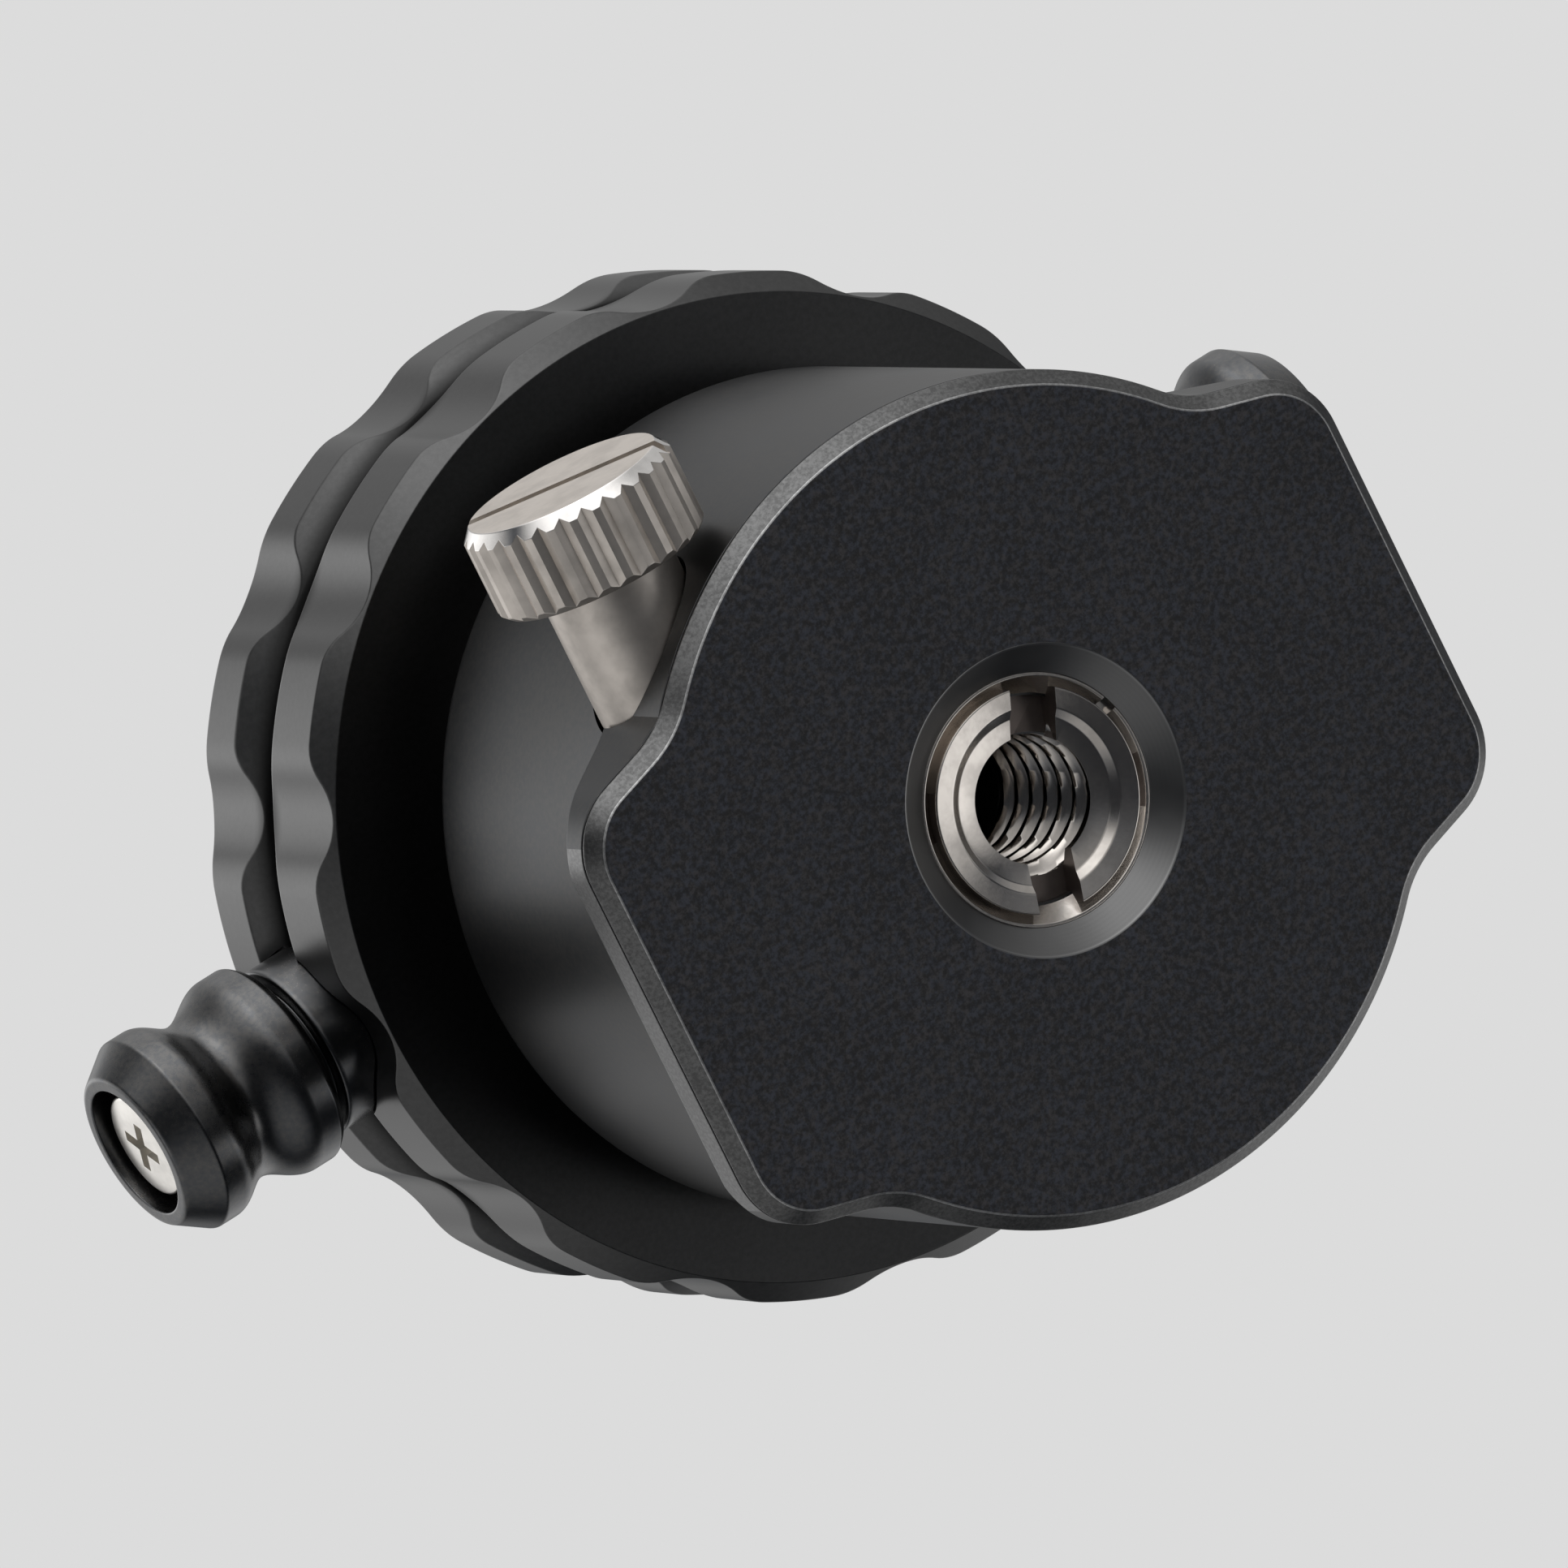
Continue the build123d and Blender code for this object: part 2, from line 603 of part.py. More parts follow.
# ------------------------------------------------------------------ levers
# Turned posts with a collar at the ring and two full swells for the fingers.
for side, hand in ((-1, "left"), (1, "right")):
    with BuildPart() as lever:
        with BuildSketch(Plane.XZ.shift_origin((side * lever_seat, 0, ring_middle))):
            with BuildLine():
                Polyline(
                    (side * lever_length, lever_tip_radius), (side * lever_length, 0), (0, 0),
                    (0, lever_collar_radius), (side * collar_end, lever_collar_radius),
                    (side * collar_end, lever_neck_radius),
                    (side * grip_start, lever_neck_radius),
                    (side * grip_start, grip_start_radius),
                )
                waist_start = (side * (inner_crest + first_touch * (waist - inner_crest)),
                               first_centre + first_touch * (waist_centre - first_centre))
                waist_end = (side * (outer_crest + second_touch * (waist - outer_crest)),
                             second_centre + second_touch * (waist_centre - second_centre))
                ThreePointArc((side * grip_start, grip_start_radius),
                              (side * inner_crest, lever_crest_radius), waist_start)
                ThreePointArc(waist_start, (side * waist, lever_waist_radius), waist_end)
                ThreePointArc(waist_end, (side * outer_crest, lever_crest_radius),
                              (side * grip_end, grip_end_radius))
                Line((side * grip_end, grip_end_radius), (side * lever_length, lever_tip_radius))
            make_face()
        revolve(axis=Axis((0, 0, ring_middle), (1, 0, 0)))
        with BuildSketch(across_lever(lever_screw_under, side)):
            Circle(lever_bore_radius)
        extrude(amount=lever_tip - lever_screw_under, mode=Mode.SUBTRACT)
        with BuildSketch(across_lever(lever_seat, side)):
            Circle(lever_screw_hole)
        extrude(amount=lever_length, mode=Mode.SUBTRACT)
    write(lever, f"lever_{hand}")

    with BuildPart() as lever_screw:
        with BuildSketch(across_lever(lever_screw_under, side)):
            Circle(lever_screw_head_radius)
        extrude(amount=lever_screw_head_height)
        with BuildSketch(across_lever(lever_screw_end, side)):
            Circle(lever_screw_radius)
        extrude(amount=lever_screw_under - lever_screw_end)
        with BuildSketch(across_lever(lever_screw_face, side)):
            Rectangle(cross_span, cross_width)
            Rectangle(cross_width, cross_span)
        extrude(amount=-cross_depth, mode=Mode.SUBTRACT)
    write(lever_screw, f"lever_screw_{hand}")

# ---------------------------------------------------------- ball and stem
with BuildPart() as ball:
    with Locations((0, 0, ball_height)):
        Sphere(ball_radius)
    split(bisect_by=Plane.XY.offset(flat_z), keep=Keep.BOTTOM)
    with BuildSketch(Plane.XY.offset(flat_z)):
        Circle(spigot_radius + shaft_fit)
    extrude(amount=-spigot_length - spigot_relief, mode=Mode.SUBTRACT)
write(ball, "ball")

with BuildPart() as ball_stem:
    with BuildSketch(Plane.XZ):
        Polygon(
            (0, flat_z - spigot_length), (spigot_radius, flat_z - spigot_length),
            (spigot_radius, stem_bottom), (stem_radius, stem_bottom),
            (stem_radius, stem_top - stem_flare_height), (stem_radius + stem_flare, stem_top),
            (shank_hole, stem_top), (shank_hole, stud_bottom - fixed_fit),
            (0, stud_bottom - fixed_fit), align=None,
        )
    revolve(axis=Axis.Z)
write(ball_stem, "ball_stem")

# -------------------------------------------------- platform, pad and stud
with BuildPart() as platform:
    with BuildSketch(Plane.XZ):
        Polygon(
            (shank_hole, stem_top), (platform_radius - platform_under_chamfer, stem_top),
            (platform_radius, stem_top + platform_under_chamfer),
            (platform_radius, platform_top - platform_edge_break),
            (platform_radius - platform_edge_break, platform_top), (pad_radius, platform_top),
            (pad_radius, pad_bottom), (shank_hole, pad_bottom), align=None,
        )
    revolve(axis=Axis.Z)
write(platform, "platform")

with BuildPart() as platform_pad:
    with BuildSketch(Plane.XY.offset(pad_bottom)):
        Circle(pad_radius - fixed_fit)
        Circle(pad_eye_radius, mode=Mode.SUBTRACT)
    extrude(amount=pad_recess + pad_proud)
write(platform_pad, "platform_pad")

with BuildPart() as camera_stud:
    with BuildSketch(Plane.XY.offset(stud_bottom)):
        Circle(stud_shank_radius)
    extrude(amount=pad_bottom - stud_bottom)
    with BuildSketch(Plane.XY.offset(pad_bottom)):
        Circle(stud_radius)
    extrude(amount=stud_top - pad_bottom)
    chamfer(camera_stud.faces().sort_by(Axis.Z)[-1].edges(), stud_tip_break)
write(camera_stud, "camera_stud")
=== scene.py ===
"""Looks for the compact tripod ball head: turned and bead-blasted black aluminium,
bright steel and nickel, on a plain pale floor. Sizes are in millimetres and are
turned to metres as each mesh is made."""

import math

import bmesh
import bpy
import numpy as np
from mathutils import Matrix


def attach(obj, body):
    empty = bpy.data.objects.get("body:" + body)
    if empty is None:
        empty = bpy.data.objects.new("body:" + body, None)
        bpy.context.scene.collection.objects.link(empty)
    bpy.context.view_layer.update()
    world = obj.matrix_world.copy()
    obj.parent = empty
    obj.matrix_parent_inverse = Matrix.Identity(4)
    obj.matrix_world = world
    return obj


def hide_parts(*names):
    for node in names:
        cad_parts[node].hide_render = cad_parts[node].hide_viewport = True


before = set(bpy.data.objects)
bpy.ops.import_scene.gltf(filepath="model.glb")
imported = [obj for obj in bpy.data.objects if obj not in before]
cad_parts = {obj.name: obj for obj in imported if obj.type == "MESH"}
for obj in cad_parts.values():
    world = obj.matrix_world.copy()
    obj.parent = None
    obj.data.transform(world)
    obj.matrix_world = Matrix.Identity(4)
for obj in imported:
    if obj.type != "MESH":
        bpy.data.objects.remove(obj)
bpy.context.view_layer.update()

MM = 0.001
TURN = 2 * math.pi

# ------------------------------------------------------------------ sizes, mm
plate_radius, plate_half, plate_thickness = 17.25, 19.0, 1.35
wing_tip_half, wing_slope = 9.25, math.radians(16.0)
wing_corner, wing_blend = 3.3, 4.7
plate_bevel, seam, seam_gap, seam_depth, core_radius = 0.62, 0.7, 0.12, 0.35, 16.0
countersink_radius, socket_radius, socket_recess, bushing_recess = 6.32, 5.12, 0.88, 0.8
housing_radius, housing_top, housing_floor = 17.25, 20.0, 9.5
cone_foot, cone_foot_radius = 2.3, 20.25
wall_bore, hub_radius, hub_top = 15.35, 6.2, 15.8
lock_x, lock_z, lock_bore = -10.66, 4.9, 3.0
shank_radius, head_radius, head_face_radius = 2.84, 4.56, 4.12
head_seat, head_face, head_chamfer, shank_end = -16.5, -20.45, 0.55, -8.0
bushing_length, thread_crest, thread_pitch = 8.8, 2.6, 1.27
rotor_radius, rotor_top, seat_bore = 15.2, 33.9, 12.95
ring_front, ring_face, ring_crest, ring_chamfer = 23.5, 20.3, 21.15, 0.9
front_band, groove_flank, groove_radius, back_band = 3.5, 1.8, 20.15, 2.7
scallops, scallop_radius, scallop_depth, scallop_blend = 14, 4.2, 0.75, 2.8
lip_radius, collar_radius, collar_height, lip_under = 12.1, 16.6, 0.9, 34.15
lever_seat, lever_length = 20.1, 10.3
ball_radius, ball_height, ball_flat = 12.5, 29.3, 11.3
stem_radius, stem_bottom, stem_top = 5.0, 40.65, 44.0
platform_radius, platform_top, pad_face, pad_radius = 14.5, 46.6, 47.2, 13.3
stud_radius, stud_top = 3.1, 51.8
ring_back = ring_front + 2 * ring_chamfer + front_band + 2 * groove_flank + back_band
ring_middle = (ring_front + ring_back) / 2
groove_z = ring_front + ring_chamfer + front_band + groove_flank
through = 8.0                  # half length of a cutting bar that runs out on both sides
sharp_edge = 38.0              # degrees past which an edge stays crisp, if not said otherwise
arc_steps = 3                  # steps of a softened corner


# ------------------------------------------------------------- mesh building
def softened(rows, breaks, loop=False):
    """Rounds the corners of a stack of rows.

    A row is an array of points, and the stack runs along the profile. Each
    corner row b between a and c becomes a small quadratic arc that leaves a-b
    and joins b-c at the given distance, (1-t)^2 first + 2t(1-t) b + t^2 last,
    with a guard row on either side, so that smooth shading stays in the arc."""
    count = len(rows)
    made = []
    for i in range(count):
        size = breaks[i]
        ends = not loop and i in (0, count - 1)
        if size == 0 or ends:
            made.append(rows[i])
            continue
        here = rows[i]
        back = rows[i - 1] - here
        ahead = rows[(i + 1) % count] - here
        back_length = np.maximum(np.linalg.norm(back, axis=-1, keepdims=True), 1e-9)
        ahead_length = np.maximum(np.linalg.norm(ahead, axis=-1, keepdims=True), 1e-9)
        first = here + back / back_length * np.minimum(size, 0.3 * back_length)
        last = here + ahead / ahead_length * np.minimum(size, 0.3 * ahead_length)
        made.append(here + back / back_length * np.minimum(1.6 * size, 0.45 * back_length))
        for t in np.linspace(0, 1, arc_steps + 1):
            made.append((1 - t) ** 2 * first + 2 * t * (1 - t) * here + t ** 2 * last)
        made.append(here + ahead / ahead_length * np.minimum(1.6 * size, 0.45 * ahead_length))
    return np.array(made)


def skin(name, rows, loop=False, sharp=sharp_edge):
    """A mesh over a stack of closed rows, of shape (rows, points, 3) in mm.

    Neighbouring rows are joined by quads. A stack that isn't a loop has its
    end rows closed by a fan, unless the row is already a single point."""
    rows = np.asarray(rows, float)
    m, n = rows.shape[:2]
    points = rows.reshape(-1, 3)
    i, j = np.meshgrid(np.arange(m if loop else m - 1), np.arange(n), indexing="ij")
    k, l = (i + 1) % m, (j + 1) % n
    faces = np.stack([i * n + j, i * n + l, k * n + l, k * n + j], -1).reshape(-1, 4)
    mesh = bpy.data.meshes.new(name)
    mesh.from_pydata(points * MM, [], faces.tolist())
    piece = bpy.data.objects.new(name, mesh)
    bpy.context.scene.collection.objects.link(piece)
    bm = bmesh.new()
    bm.from_mesh(mesh)
    bmesh.ops.remove_doubles(bm, verts=bm.verts, dist=2e-7)
    bmesh.ops.holes_fill(bm, edges=[e for e in bm.edges if e.is_boundary], sides=0)
    bmesh.ops.recalc_face_normals(bm, faces=bm.faces)
    bm.to_mesh(mesh)
    bm.free()
    smooth(piece, sharp)
    return piece


def smooth(piece, sharp=sharp_edge):
    """Smooth shading, with edges sharper than the given angle kept crisp."""
    mesh = piece.data
    mesh.polygons.foreach_set("use_smooth", np.ones(len(mesh.polygons), bool))
    mesh.set_sharp_from_angle(angle=math.radians(sharp))
    mesh.update()
    return piece


def settled(piece):
    """Applies a piece's modifiers to its mesh."""
    bpy.context.view_layer.update()
    graph = bpy.context.evaluated_depsgraph_get()
    done = bpy.data.meshes.new_from_object(piece.evaluated_get(graph))
    piece.modifiers.clear()
    piece.data = done
    done.name = piece.name
    return piece


def cut(piece, *tools, sharp=sharp_edge):
    """Cuts the closed tools out of a closed piece, and throws them away."""
    for tool in tools:
        step = piece.modifiers.new("cut", "BOOLEAN")
        step.operation = "DIFFERENCE"
        step.solver = "EXACT"
        step.object = tool
    settled(piece)
    for tool in tools:
        bpy.data.objects.remove(tool)
    return smooth(piece, sharp)


def joined(name, pieces):
    """One mesh out of several, each left as its own closed shell."""
    bm = bmesh.new()
    for piece in pieces:
        bm.from_mesh(piece.data)
        bpy.data.objects.remove(piece)
    mesh = bpy.data.meshes.new(name)
    bm.to_mesh(mesh)
    bm.free()
    whole = bpy.data.objects.new(name, mesh)
    bpy.context.scene.collection.objects.link(whole)
    return whole


def along_z(x, y, z):
    """Leaves a shape on +Z as it is."""
    return np.stack([x, y, z], -1)


def along_screw(x, y, z):
    """Turns a shape on +Z so that it lies on the thumb screw's axis, +Z to +Y."""
    return np.stack([lock_x + x, z, lock_z - y], -1)


def along_lever(side):
    """Turns a shape on +Z so that it lies on a lever's axis, pointing out."""
    def place(x, y, z):
        return np.stack([side * z, side * x, ring_middle + y], -1)
    return place


def circles(profile, points=192, place=along_z):
    """Rows of circles: one row for each (radius, height) of the profile."""
    a = np.arange(points) * TURN / points
    rows = [place(r * np.cos(a), r * np.sin(a), np.full(points, float(z))) for r, z in profile]
    return np.array(rows)


def lathe(name, profile, breaks, points=192, place=along_z, loop=True):
    """A turned piece: its profile of (radius, height) spun about its axis, with
    each corner softened by its own size of breaks, or all by one."""
    sizes = breaks if isinstance(breaks, (list, tuple)) else [breaks] * len(profile)
    rows = softened(circles(profile, points, place), sizes, loop)
    return skin(name, rows, loop)


def block(name, corners_low, corners_high, turn=0.0, at=(0, 0, 0), place=along_z):
    """A plain cutting bar between two corners, turned about its own Z."""
    (x0, y0, z0), (x1, y1, z1) = corners_low, corners_high
    c, s = math.cos(turn), math.sin(turn)
    x, y = np.array([x0, x1, x1, x0]), np.array([y0, y0, y1, y1])
    u, v = at[0] + c * x - s * y, at[1] + s * x + c * y
    rows = [place(u, v, np.full(4, z + at[2])) for z in (z0, z1)]
    return skin(name, rows)


def faces_of(piece):
    """Centres, in metres, and normals of a piece's faces."""
    faces = piece.data.polygons
    centres, facings = (np.zeros(len(faces) * 3) for _ in range(2))
    faces.foreach_get("center", centres)
    faces.foreach_get("normal", facings)
    return centres.reshape(-1, 3), facings.reshape(-1, 3)


def painted(piece, index, *materials):
    """Adds materials to a piece, and gives each face the one that index counts to."""
    for material in materials:
        piece.data.materials.append(material)
    piece.data.polygons.foreach_set("material_index", np.asarray(index, np.int32))


# ------------------------------------------------------------- shader maths
class Signal:
    """A shader value that takes part in ordinary arithmetic."""

    def __init__(self, finish, socket):
        self.finish, self.socket = finish, socket

    def _math(self, operation, *values):
        return self.finish.node("ShaderNodeMath", {"operation": operation}, *values)

    def __add__(self, other):
        return self._math("ADD", self, other)

    def __radd__(self, other):
        return self._math("ADD", other, self)

    def __sub__(self, other):
        return self._math("SUBTRACT", self, other)

    def __rsub__(self, other):
        return self._math("SUBTRACT", other, self)

    def __mul__(self, other):
        return self._math("MULTIPLY", self, other)

    def __pow__(self, other):
        return self._math("POWER", self, other)

    def clamped(self):
        """The value held between 0 and 1."""
        return self._math("MAXIMUM", self._math("MINIMUM", self, 1.0), 0.0)

    def size(self):
        return self._math("ABSOLUTE", self)

    def sine(self):
        return self._math("SINE", self)

    def over(self, start, end):
        """0 below start, 1 above end, and smooth between them."""
        settings = {"interpolation_type": "SMOOTHSTEP"}
        return self.finish.node("ShaderNodeMapRange", settings, self, start, end, 0.0, 1.0)


class Finish:
    """A material or world in the making, with its nodes."""

    def __init__(self, owner):
        owner.use_nodes = True
        self.tree = owner.node_tree
        self.tree.nodes.clear()

    def node(self, kind, settings=None, *values, out=0, **named):
        """Adds a node: its settings first, then the values or links of its sockets."""
        node = self.tree.nodes.new(kind)
        for key, value in (settings or {}).items():
            setattr(node, key, value)
        for key, value in [*enumerate(values), *named.items()]:
            if value is None:
                continue
            socket = node.inputs[key if isinstance(key, int) else key.replace("_", " ")]
            if isinstance(value, Signal):
                self.tree.links.new(value.socket, socket)
            else:
                socket.default_value = value
        return Signal(self, node.outputs[out]) if len(node.outputs) else None

    def mix(self, factor, first, second, blend="MIX"):
        """Blend of two colours."""
        node = self.tree.nodes.new("ShaderNodeMix")
        node.data_type, node.blend_type = "RGBA", blend
        for socket, value in ((node.inputs[0], factor), (node.inputs[6], first), (node.inputs[7], second)):
            if isinstance(value, Signal):
                self.tree.links.new(value.socket, socket)
            else:
                socket.default_value = value
        return Signal(self, node.outputs[2])

    def tinted(self, colour, tint):
        """A colour multiplied by a tint."""
        return self.mix(1.0, colour, tint, "MULTIPLY")

    def place(self):
        """Object coordinates, in metres."""
        return self.node("ShaderNodeTexCoord", out="Object")

    def axes(self):
        """Object coordinates as three values."""
        split = self.tree.nodes.new("ShaderNodeSeparateXYZ")
        self.tree.links.new(self.place().socket, split.inputs[0])
        return [Signal(self, socket) for socket in split.outputs]

    def noise(self, per_mm, detail=2.0, rough=0.5):
        """Noise with about this many features to a millimetre, 0 to 1."""
        return self.node("ShaderNodeTexNoise", {"noise_dimensions": "3D"}, out="Fac",
                         Vector=self.place(), Scale=per_mm / MM, Detail=detail, Roughness=rough)

    def bump(self, height, depth_mm, strength=1.0):
        """A normal that leans with a height of 0 to 1, depth_mm deep."""
        return self.node("ShaderNodeBump", None, out="Normal", Strength=strength,
                         Distance=depth_mm * MM, Height=height)

    def surface(self, base, roughness, metallic=0.0, normal=None, **fixed):
        """The finished surface: a Principled shader into the output."""
        shader = self.tree.nodes.new("ShaderNodeBsdfPrincipled")
        varying = {"Base Color": base, "Roughness": roughness, "Metallic": metallic, "Normal": normal}
        for key, value in {**varying, **{k.replace("_", " "): v for k, v in fixed.items()}}.items():
            if value is None:
                continue
            if isinstance(value, Signal):
                self.tree.links.new(value.socket, shader.inputs[key])
            else:
                shader.inputs[key].default_value = value
        self.node("ShaderNodeOutputMaterial", None, Surface=Signal(self, shader.outputs[0]))


def grey(level):
    """A neutral colour of this level, linear."""
    return (level, level, level, 1.0)


def blasted_black(level, shine):
    """Bead-blasted black anodised face: a fine uneven grain that scatters light,
    with flecks from bluish to nearly neutral."""
    material = bpy.data.materials.new("blasted_black")
    f = Finish(material)
    grain = f.noise(3.0, 3.0, 0.7)
    flecks = f.noise(5.5, 2.0, 0.6)
    warmth = f.noise(2.1, 2.0, 0.6)
    cloud = f.noise(0.2, 2.0, 0.5)
    tone = (grain * 0.7 + flecks * 0.4 + (cloud - 0.5) * 0.12).over(0.42, 0.7)
    tint = f.mix(warmth.over(0.42, 0.6), (0.86, 0.95, 1.25, 1), (1.03, 0.98, 1.06, 1))
    shade = f.mix(tone, grey(level * 0.4), grey(level * 1.9))
    base = f.tinted(shade, tint)
    f.surface(base, 0.46 + grain * 0.16, normal=f.bump(grain * 0.6 + flecks * 0.4, 0.022, 1.0),
              Specular_IOR_Level=shine)
    return material


def satin_black(name, level, rough, grain_depth=0.003):
    """Turned, fine-blasted and anodised aluminium: dark metal with a soft sheen."""
    material = bpy.data.materials.new(name)
    f = Finish(material)
    grain = f.noise(4.0, 3.0, 0.65)
    cloud = f.noise(0.16, 2.0, 0.5)
    tone = (grain * 0.7 + cloud * 0.3).over(0.34, 0.66)
    cool, warm = (0.84, 0.87, 0.92), (1.16, 1.14, 1.12)
    base = f.mix(tone, *(tuple(level * c for c in tint) + (1,) for tint in (cool, warm)))
    f.surface(base, (cloud - 0.5) * 0.08 + grain * 0.06 + (rough - 0.03), 1.0,
              normal=f.bump(grain, grain_depth, 0.5))
    return material


def ring_satin(name, level, rough):
    """The lock ring's satin black, with painted shade down in the groove between its tiers."""
    material = bpy.data.materials.new(name)
    f = Finish(material)
    height = f.axes()[2]
    grain = f.noise(4.0, 3.0, 0.65)
    cloud = f.noise(0.16, 2.0, 0.5)
    tone = (grain * 0.7 + cloud * 0.3).over(0.34, 0.66)
    # Painted shade: the base colour darkens towards the groove between the tiers, where they shade each
    # other.
    from_groove = (height - groove_z * MM).size()
    groove_shade = 1 - from_groove.over(0.1 * MM, 1.4 * MM)
    base = f.mix(tone, grey(level * 0.92), grey(level * 1.08))
    base = f.mix(groove_shade * 0.9, base, grey(level * 0.06))
    f.surface(base, (cloud - 0.5) * 0.08 + grain * 0.06 + (rough - 0.03) + groove_shade * 0.15, 1.0,
              normal=f.bump(grain, 0.0016, 0.5))
    return material


def bright_metal(name, colour, rough, stain=0.06):
    """Plated steel: clear reflections, with faint clouding and unevenness."""
    material = bpy.data.materials.new(name)
    f = Finish(material)
    cloud = f.noise(0.7, 3.0, 0.6)
    fine = f.noise(6.0, 2.0, 0.6)
    dull = tuple(c * 0.8 for c in colour[:3]) + (1.0,)
    base = f.mix(cloud.over(0.35, 0.75), colour, dull)
    f.surface(base, cloud * stain * 2 + fine * stain + (rough - stain * 1.5), 1.0,
              normal=f.bump(fine * 0.6 + cloud * 0.4, 0.0025, 0.5))
    return material


def cut_edge(name, level, rough, metal=0.8):
    """Metal cut after blasting: paler and smoother than the face, with fine grain. Also the painted highlight
    along the turn of the plate's edge.
    """
    material = bpy.data.materials.new(name)
    f = Finish(material)
    grain = f.noise(6.0, 3.0, 0.7)
    cloud = f.noise(0.5, 2.0, 0.5)
    tone = (grain * 0.75 + cloud * 0.25).over(0.35, 0.65)
    f.surface(f.mix(tone, grey(level * 0.72), grey(level * 1.24)), cloud * 0.12 + (rough - 0.06), metal,
              normal=f.bump(grain, 0.005, 0.6))
    return material


def satin_cone(level, rough, highlight_level):
    """Countersunk cone: grey and satin, with turning marks round the axis, a
    sine of the radius, and a painted highlight: a paler line where it meets the face."""
    mark_pitch = 0.16
    line_start, line_full = 0.12, 0.04      # where the line begins and is full, in from the rim
    material = bpy.data.materials.new("satin_cone")
    f = Finish(material)
    x, y = f.axes()[:2]
    radius = (x * x + y * y) ** 0.5
    ridge = (radius * (TURN / (mark_pitch * MM))).sine()
    cloud = f.noise(0.5, 2.0, 0.5)
    # Painted highlight: a paler line round the rim, where the edge catches the light.
    painted_highlight = radius.over((countersink_radius - line_start) * MM, (countersink_radius - line_full) * MM)
    plain = f.mix(cloud, grey(level * 0.85), grey(level * 1.15))
    f.surface(f.mix(painted_highlight, plain, grey(highlight_level)), cloud * 0.1 + (rough - 0.03), 1.0,
              normal=f.bump(ridge * 0.5 + 0.5, 0.0012, 0.5))
    return material


def plain_plastic(name, colour, rough):
    """Machined plastic or felt: an even colour with a faint grain."""
    material = bpy.data.materials.new(name)
    f = Finish(material)
    grain = f.noise(3.0, 3.0, 0.6)
    dim = tuple(c * 0.82 for c in colour[:3]) + (1.0,)
    f.surface(f.mix(grain, dim, colour), grain * 0.12 + (rough - 0.06),
              normal=f.bump(grain, 0.006, 0.5))
    return material


def ribbed_rubber():
    """Black rubber pad with fine pores."""
    material = bpy.data.materials.new("ribbed_rubber")
    f = Finish(material)
    pores = f.noise(5.0, 3.0, 0.6)
    f.surface(f.mix(pores, grey(0.014), grey(0.026)), pores * 0.15 + 0.55,
              normal=f.bump(pores, 0.01, 0.6), Specular_IOR_Level=0.35)
    return material


blasted = blasted_black(level=0.0255, shine=0.42)
satin = satin_black("satin_anodised", 0.054, 0.38)
satin_ring = ring_satin("satin_ring", 0.075, 0.32)
satin_lever = satin_black("satin_lever", 0.1, 0.27)
plate_edge = cut_edge("cut_plate_edge", 0.115, 0.36, 1.0)
# A paler edge finish for the turn between face and bevel: a painted highlight.
edge_highlight = cut_edge("plate_edge_highlight", 0.4, 0.34)
ear_side = cut_edge("cut_ear_side", 0.13, 0.36, 0.8)
cone_grey = satin_cone(0.16, 0.31, 0.24)
steel = bright_metal("bright_steel", (0.64, 0.6, 0.56, 1), 0.17, stain=0.09)
# Darker, browner steel for the slot's walls and floor: painted shade, with a rougher finish.
slot_shade_steel = bright_metal("slot_shade_steel", (0.2, 0.17, 0.155, 1), 0.45)
screw_steel = bright_metal("screw_steel", (0.95, 0.92, 0.87, 1), 0.3, stain=0.05)
nickel = bright_metal("satin_nickel", (0.66, 0.61, 0.56, 1), 0.44, stain=0.08)
polished_nickel = bright_metal("polished_nickel", (0.72, 0.7, 0.68, 1), 0.12, stain=0.03)
plain_steel = bright_metal("ground_steel", (0.5, 0.5, 0.51, 1), 0.3)
brass = bright_metal("machined_brass", (0.72, 0.53, 0.24, 1), 0.25)
acetal = plain_plastic("natural_acetal", (0.72, 0.71, 0.66, 1), 0.45)
felt = plain_plastic("black_felt", (0.02, 0.02, 0.02, 1), 0.9)
rubber = ribbed_rubber()


def dressed(piece, body, material, slot, *nodes):
    """Gives a piece its material, the body it moves with and the node it stands for."""
    piece.data.materials.clear()
    piece.data.materials.append(material)
    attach(piece, body)
    if nodes:
        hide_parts(*nodes)
    return piece


# --------------------------------------------------------------- base plate
def arc(centre, radius, start, end, count):
    """Points along an arc and the directions out from its centre, angles in radians."""
    a = np.linspace(start, end, count)
    way = np.stack([np.cos(a), np.sin(a)], -1)
    return np.array(centre) + radius * way, way


